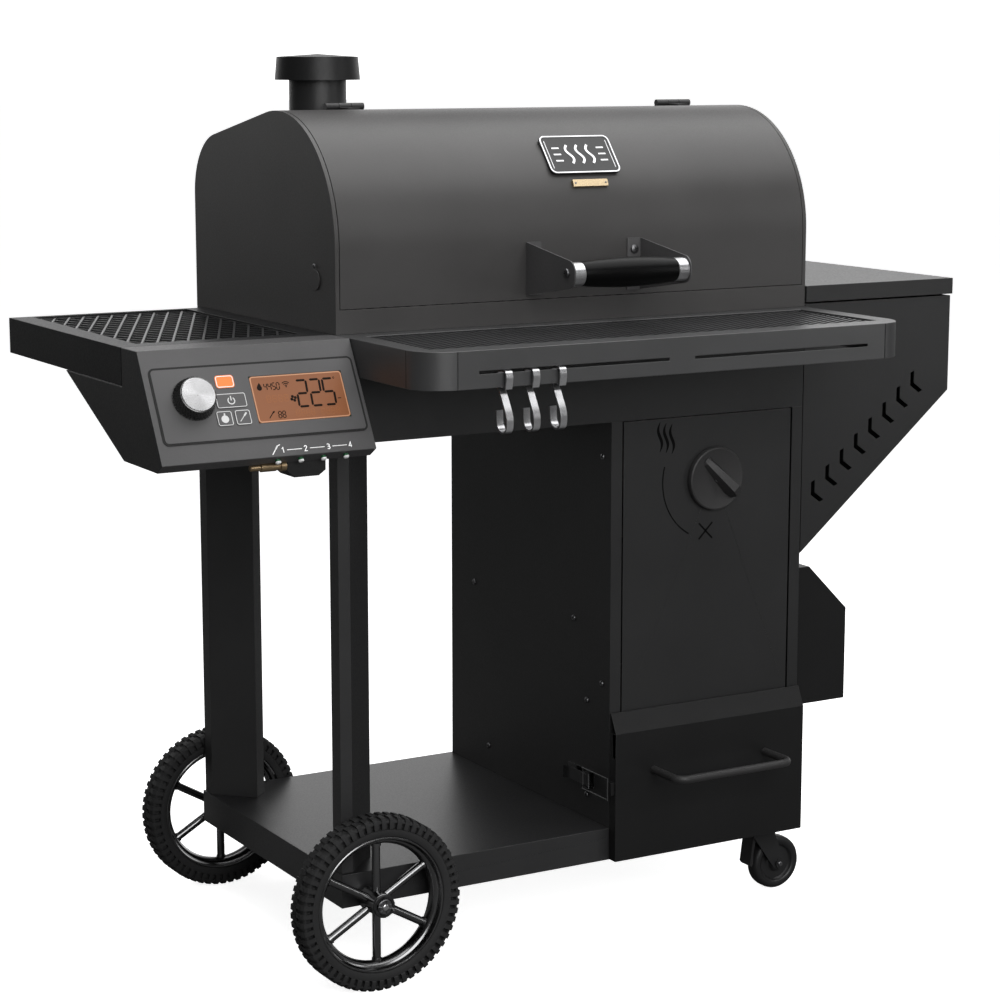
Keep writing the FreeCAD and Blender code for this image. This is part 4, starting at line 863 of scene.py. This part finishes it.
def make_sear_knob():
    """Moulded disc with a wedge-shaped grip."""
    low, high = cart_box("sear_knob")
    middle = (low + high) / 2
    place = facing(middle.x, -1, middle.z, "-Y")
    bm = bmesh.new()
    lathe(bm, [(0, 0), (46.5, 0), (47.5, 1), (47.5, 5.5), (46.4, 7.6), (44.6, 8.4), (43.2, 8.2),
               (41, 7.4), (0, 7.4)], 96)
    piece("sear_knob_disc", bm, place, "moulded", "sear_control", ["sear_knob"], "sear_plastic")
    bm = bmesh.new()
    turn = Matrix.Translation((6, 2, 0)) @ Matrix.Rotation(math.radians(-46.6), 4, "Z")
    rings = []
    for x, half_base, half_crest, crest in ((-38, 6, 3, 8.4), (-34, 9, 4, 11.5), (-8, 11, 5.6, 20.5),
                                            (22, 12, 6.6, 29), (34, 10, 5.6, 22), (37, 8, 5, 16)):
        rings.append([bm.verts.new(corner) for corner in (
            (x, -half_base, 7), (x, half_base, 7), (x, half_crest, crest), (x, -half_crest, crest))])
    for one, other in zip(rings, rings[1:]):
        bridge(bm, one, other)
    bm.faces.new(list(reversed(rings[0])))
    bm.faces.new(rings[-1])
    bmesh.ops.transform(bm, matrix=turn, verts=bm.verts)
    piece("sear_knob_grip", bm, place, "moulded", "sear_control", ["sear_knob"], "sear_plastic",
          width=1.2)


def make_panel_marks():
    """Black printed heat waves, sweep line and cross."""
    place = facing(0, 0, 0, "-Y")
    bm = bmesh.new()
    for k in (-1, 0, 1):
        middle = [(534 + 10.5 * k + 3.4 * math.sin(2 * math.pi * t / 16), 716 + 44 * t / 16 - 2 * k)
                  for t in range(17)]
        thick = [0.4 + 2.3 * math.sin(math.pi * t / 16) for t in range(17)]
        outline = [(x - w, z) for (x, z), w in zip(middle, thick)]
        outline += [(x + w, z) for (x, z), w in reversed(list(zip(middle, thick)))]
        prism(bm, outline, 0, 0.2)
    stroke(bm, arc(620, 672, 91, 165, 241, 28), 2.0, 0, 0.2)
    cross, arm = Vector((606, 594)), 12
    for sign in (-1, 1):
        corner = Vector((arm, arm * sign))
        stroke(bm, [cross - corner, cross + corner], 2.6, 0, 0.2)
    piece("panel_marks", bm, place, "print_dark", merge=False)


make_sear_knob()
make_panel_marks()
LEFT_SCREWS = ((23, 715), (403, 461), (101, 461), (22, 377), (63, 343), (62, 198), (357, 203))
screws("pedestal_screws", [(440, y, z) for y, z in LEFT_SCREWS], "-X", 4.5, 2.5, "plated",
       replaces=["panel_screws"], slot="handle_coat")
screws("hopper_screws", [(1059, y, 850) for y in (14, 426)], "+X", 4, 2.5, "plated",
       slot="handle_coat")

# --- cart wheels ---

LUGS = 60


def sector(radii, middle, half):
    """A block of a ring: inner and outer radius about a middle angle, in radians."""
    inner, outer = radii
    return [(r * math.cos(b), r * math.sin(b))
            for r, b in ((inner, middle - half[0]), (outer, middle - half[1]),
                         (outer, middle + half[1]), (inner, middle + half[0]))]


def make_tyre(end, place):
    """Ribbed tyre with shoulder lugs."""
    bm = bmesh.new()
    profile = [(97.2, 16.8), (98.4, 18.6), (101, 19.6), (105, 20.2), (108.2, 19.9), (109.2, 14.5),
               (116.4, 13.5), (117.4, 19), (119.6, 18.8), (121.6, 16.4), (122.4, 12), (122.4, 2.4),
               (120.4, 0)]
    both = profile + [(r, -h) for r, h in reversed(profile[:-1])]
    lathe(bm, both, 144, closed=True)
    pitch = 2 * math.pi / LUGS
    for side in (1, -1):
        lug = [(0.8, 117.8), (0.8, 124.2), (2.2, 124.9), (15.5, 124.9), (19.4, 121.6), (20.5, 117.5),
               (20.5, 109.6), (19.4, 107.6), (17, 107.6), (16, 117.8)]
        for k in range(LUGS):
            middle = pitch * (k + (0.25 if side < 0 else 0.75))
            rings = []
            for angle in (middle - pitch * 0.27, middle + pitch * 0.27):
                rings.append([bm.verts.new((r * math.cos(angle), r * math.sin(angle), side * h))
                              for h, r in lug])
            bridge(bm, *rings)
            bm.faces.new(rings[0])
            bm.faces.new(list(reversed(rings[1])))
    piece("tyre_" + end, bm, place, "rubber", "wheel_" + end, ["wheel_tyre_" + end],
          "tyre_rubber", merge=False)


def make_rim(end, place):
    """Glossy rim with six round spokes and its hub."""
    bm = bmesh.new()
    lip = [(97.6, 16.2), (97.4, 17.8), (96.2, 18.6), (94.6, 18.2), (93.4, 16.4), (92.8, 13.4),
           (91.6, 11.4), (89.6, 10.4), (87.8, 9), (86.2, 6), (85, 3), (84.6, 0)]
    lathe(bm, lip + [(r, -h) for r, h in reversed(lip[:-1])] + [(97, 0)], 144, closed=True)
    for k in range(6):
        a = math.pi / 2 + k * math.pi / 3
        ray = Vector((math.cos(a), math.sin(a), 0))
        tube(bm, [ray * 14, ray * 86], 6, 20)
        tube(bm, [ray * 82, ray * 83, ray * 86], 7.2, 20)
    lathe(bm, [(8.4, -22.5), (16, -22.5), (17, -21.5), (17, 21.5), (16, 22.5), (8.4, 22.5)], 64,
          closed=True)
    piece("rim_" + end, bm, place, "rim", "wheel_" + end, ["wheel_rim_" + end], "rim_gloss",
          merge=False)


def make_hub_fittings(end, place):
    """Castle collar on the hub, and the axle's castle nut with its cotter pin."""
    bm = bmesh.new()
    lathe(bm, [(11.8, 22.2), (16.4, 22.2), (16.4, 24.6), (15.6, 25.2), (12.6, 25.2), (11.8, 24.6)],
          48, closed=True)
    for k in range(6):
        prism(bm, sector((12.2, 15.8), k * math.pi / 3 + 0.4, (0.22, 0.2)), 24.8, 27.2)
    piece("hub_collar_" + end, bm, place, "satin", "wheel_" + end, merge=False, slot="rim_gloss")
    bm = bmesh.new()
    lathe(bm, [(0, 23.6), (10.8, 23.6), (10.8, 27), (9.8, 27.8), (0, 27.8)], 36)
    for k in range(6):
        prism(bm, sector((5.6, 9.6), k * math.pi / 3, (0.34, 0.34)), 27.4, 29.8)
    piece("axle_nut_" + end, bm, place, "plated", replaces=["axle"], slot="plated_steel",
          merge=False)
    bm = bmesh.new()
    lathe(bm, [(0, 27), (4.6, 27), (4.6, 29.6), (3.4, 30.4), (0, 30.4)], 32)
    tube(bm, [(-11, 2.8, 28.8), (0, 0, 28.8), (11, -2.8, 28.8)], 1.1, 8)
    tube(bm, [(11, -2.8, 28.8), (12.6, -6.4, 28.8)], 1.1, 8)
    piece("cotter_" + end, bm, place, "brushed", merge=False, slot="plated_steel")


def make_wheel(end):
    """A cart wheel: its outer side looks away from the cart."""
    low, high = cart_box("wheel_tyre_" + end)
    place = facing(*(low + high) / 2, "-Y" if end == "front" else "+Y")
    make_tyre(end, place)
    make_rim(end, place)
    make_hub_fittings(end, place)


def make_axle():
    """The plain rod between the wheels."""
    low, high = cart_box("axle")
    middle = (low + high) / 2
    inset = 3
    bm = bmesh.new()
    tube(bm, [(middle.x, low.y + inset, middle.z), (middle.x, high.y - inset, middle.z)], 7.6, 28)
    piece("axle_rod", bm, CART, "plated", replaces=["axle"], slot="plated_steel", merge=False)


make_axle()
for wheel_end in ("front", "rear"):
    make_wheel(wheel_end)

# --- casters ---


CASTER_RADIUS = 42


def make_caster(end):
    """Caster wheel with a tread, dished hub and the axle's hex nut."""
    low, high = cart_box("caster_wheel_" + end)
    middle = (low + high) / 2
    place = facing(middle.x, middle.y, CASTER_RADIUS, "-Y")
    bm = bmesh.new()
    half = [(31, 11.8), (33.5, 12.6), (37, 12.4), (39.6, 11), (41.4, 8.4), (CASTER_RADIUS, 4.5),
            (CASTER_RADIUS, 0)]
    lathe(bm, half + [(r, -h) for r, h in reversed(half[:-1])], 72, closed=True)
    piece("caster_tread_" + end, bm, place, "tread", "caster_wheel_" + end,
          ["caster_wheel_" + end], "caster_rubber")
    bm = bmesh.new()
    dish = [(4.2, 13), (10, 13), (12, 11.8), (13.4, 8), (16, 6.4), (26, 6.6), (28, 8.4), (29, 11),
            (31, 12.2), (31.4, 8)]
    lathe(bm, dish + [(r, -h) for r, h in reversed(dish)], 72, closed=True)
    piece("caster_hub_" + end, bm, place, "satin", "caster_wheel_" + end,
          ["caster_wheel_" + end], "caster_rubber")
    bm = bmesh.new()
    hexagon = arc(0, 0, 7, 0, 300, 5)
    for turn in (0, math.pi):
        side = Matrix.Rotation(turn, 4, "X")
        placed(bm, side, prism, hexagon, 16.6, 20.4)
        placed(bm, side, lathe, [(0, 20), (3.8, 20), (3.8, 21.6), (3, 22.3), (0, 22.3)], 20)
    piece("caster_nut_" + end, bm, place, "plated", "caster_" + end, merge=False)


for caster_end in ("front", "rear"):
    make_caster(caster_end)

# --- seams and small fittings ---


def make_seams():
    """Butt joints of the front shelf's corner caps."""
    low, high = 868.4, 917.6
    half, proud = 0.6, 0.08
    bm = bmesh.new()
    front = SHELF_FRONT - proud
    for x in (49.5, 735.5):
        prism(bm, [(x - half, front), (x + half, front), (x + half, SHELF_FRONT + 1),
                   (x - half, SHELF_FRONT + 1)], low, high)
    y = -200
    for x0, x1 in ((-proud, 1), (779, 780 + proud)):
        prism(bm, [(x0, y - half), (x1, y - half), (x1, y + half), (x0, y + half)], low, high)
    piece("shelf_seams", bm, CART, "black", merge=False)


def make_port_cover():
    """Closed cover of the hood's probe port."""
    bm = bmesh.new()
    cover = arc(0, 0, 14, -212, 32, 28) + arc(0, 19, 5.5, 32, 148, 10)
    prism(bm, cover, 0.3, 1.7)
    piece("probe_port_cover", bm, facing(0, 60, 988, "-X"), "lid", merge=False, width=0.3)


def make_probe_plug():
    """Brass probe plug and its boot, pushed in under the controller's lip."""
    bm = bmesh.new()
    lathe(bm, [(0, 0), (3.4, 0), (4.2, 1.2), (4.2, 14), (6, 15), (6, 36), (5, 38), (5, 42), (7, 43),
               (7, 50), (0, 50)], 32)
    # The plug's darker brass is painted shade under the lip.
    piece("probe_plug", bm, facing(-175, -100, 765, "+X"), "shaded_brass")
    bm = bmesh.new()
    outline = [(-122, 757), (-112, 748), (-76, 748), (-66, 755), (-66, 776), (-122, 776)]
    prism(bm, outline, 58, 100)
    piece("cable_boot", bm, facing(0, 0, 0, "-Y"), "black", width=1.0)


make_seams()
make_port_cover()
make_probe_plug()
screws("port_screw", [(-1.7, 60, 1007)], "-X", 3.2, 1.8, "plated")

# --- stage ---


def make_stage():
    """Pale floor that looks bright to the camera and throws little light back."""
    bm = bmesh.new()
    bmesh.ops.create_grid(bm, x_segments=2, y_segments=2, size=60)
    mesh = bpy.data.meshes.new("floor")
    bm.to_mesh(mesh)
    bm.free()
    material, shader, coords = new_material("floor_pale")
    tint = ramp(material, noise(material, coords, 0.8), [(0.3, (0.86, 0.86, 0.86)),
                                                         (0.7, (0.9, 0.9, 0.9))])
    material.node_tree.links.new(tint, shader.inputs["Base Color"])
    shader.inputs["Roughness"].default_value = 0.9
    shader.inputs["Specular IOR Level"].default_value = 0.1
    shader.inputs["Emission Color"].default_value = (1, 1, 1, 1)
    shader.inputs["Emission Strength"].default_value = 0.84
    dim = add_node(material, "ShaderNodeBsdfDiffuse", Color=(0.16, 0.16, 0.16, 1))
    mix = add_node(material, "ShaderNodeMixShader")
    links = material.node_tree.links
    links.new(add_node(material, "ShaderNodeLightPath").outputs["Is Camera Ray"], mix.inputs["Fac"])
    links.new(dim.outputs["BSDF"], mix.inputs[1])
    links.new(shader.outputs["BSDF"], mix.inputs[2])
    links.new(mix.outputs["Shader"], material.node_tree.nodes["Material Output"].inputs["Surface"])
    mesh.materials.append(material)
    floor = bpy.data.objects.new("floor", mesh)
    bpy.context.scene.collection.objects.link(floor)


def add_light(name, spot, target, size, power):
    """A soft rectangular light aimed at a point."""
    data = bpy.data.lights.new(name, "AREA")
    data.shape = "RECTANGLE"
    data.size, data.size_y = size
    data.energy = power
    light = bpy.data.objects.new(name, data)
    bpy.context.scene.collection.objects.link(light)
    light.location = spot
    light.rotation_euler = (Vector(target) - Vector(spot)).to_track_quat("-Z", "Y").to_euler()


def make_lighting():
    """White backdrop that glows from behind, a large softbox overhead and one in front."""
    world = bpy.data.worlds.new("studio")
    bpy.context.scene.world = world
    world.use_nodes = True
    background = world.node_tree.nodes["Background"]
    links = world.node_tree.links
    way = add_node(world, "ShaderNodeTexCoord").outputs["Generated"]
    split = add_node(world, "ShaderNodeSeparateXYZ")
    links.new(way, split.inputs["Vector"])
    behind = add_node(world, "ShaderNodeVectorMath", operation="DOT_PRODUCT")
    behind.inputs[1].default_value = (0.5, 0.866, 0)
    links.new(way, behind.inputs[0])

    def banded(value, stops):
        """Brightness along a value, as pairs of position and grey."""
        return ramp(world, value, [(position, (grey, grey, grey)) for position, grey in stops])

    def combined(operation, one, other):
        """Two values joined by an operation; the second may be a plain number."""
        node = add_node(world, "ShaderNodeMath", operation=operation)
        links.new(one, node.inputs[0])
        if isinstance(other, float):
            node.inputs[1].default_value = other
        else:
            links.new(other, node.inputs[1])
        return node.outputs["Value"]

    height = banded(split.outputs["Z"], [(0.0, 1.0), (0.28, 0.9), (0.5, 0.2), (1.0, 0.1)])
    around = banded(behind.outputs["Value"], [(0.1, 0.05), (0.45, 0.16), (0.8, 1.0)])
    glow = combined("MULTIPLY", height, around)
    glow = combined("MULTIPLY", glow, 1.7)
    glow = combined("ADD", glow, 0.04)
    seen = add_node(world, "ShaderNodeLightPath").outputs["Is Camera Ray"]
    links.new(combined("MAXIMUM", glow, seen), background.inputs["Strength"])
    background.inputs["Color"].default_value = (1, 1, 1, 1)
    add_light("top_softbox", (0.6, -0.4, 3.1), (0.6, -0.39, 0.0), (4.0, 3.4), 125)
    add_light("right_strip", (2.4, -2.4, 1.3), (0.1, 0, 0.4), (0.4, 1.6), 9)
    add_light("front_key", (-0.7, -3.6, 2.1), (0.1, 0, 0.7), (3.0, 2.0), 110)


def make_camera():
    """The photograph's view."""
    data = bpy.data.cameras.new("camera")
    data.lens = 91.58
    data.sensor_width = 36
    camera = bpy.data.objects.new("camera", data)
    bpy.context.scene.collection.objects.link(camera)
    spot = Vector((-1.8895, -3.1985, 1.2933))
    target = Vector((-0.2074, -0.2851, 0.7002))
    camera.location = spot
    camera.rotation_euler = (target - spot).to_track_quat("-Z", "Y").to_euler()
    bpy.context.scene.camera = camera


make_stage()
make_lighting()
make_camera()
bpy.context.scene.view_settings.view_transform = "Standard"
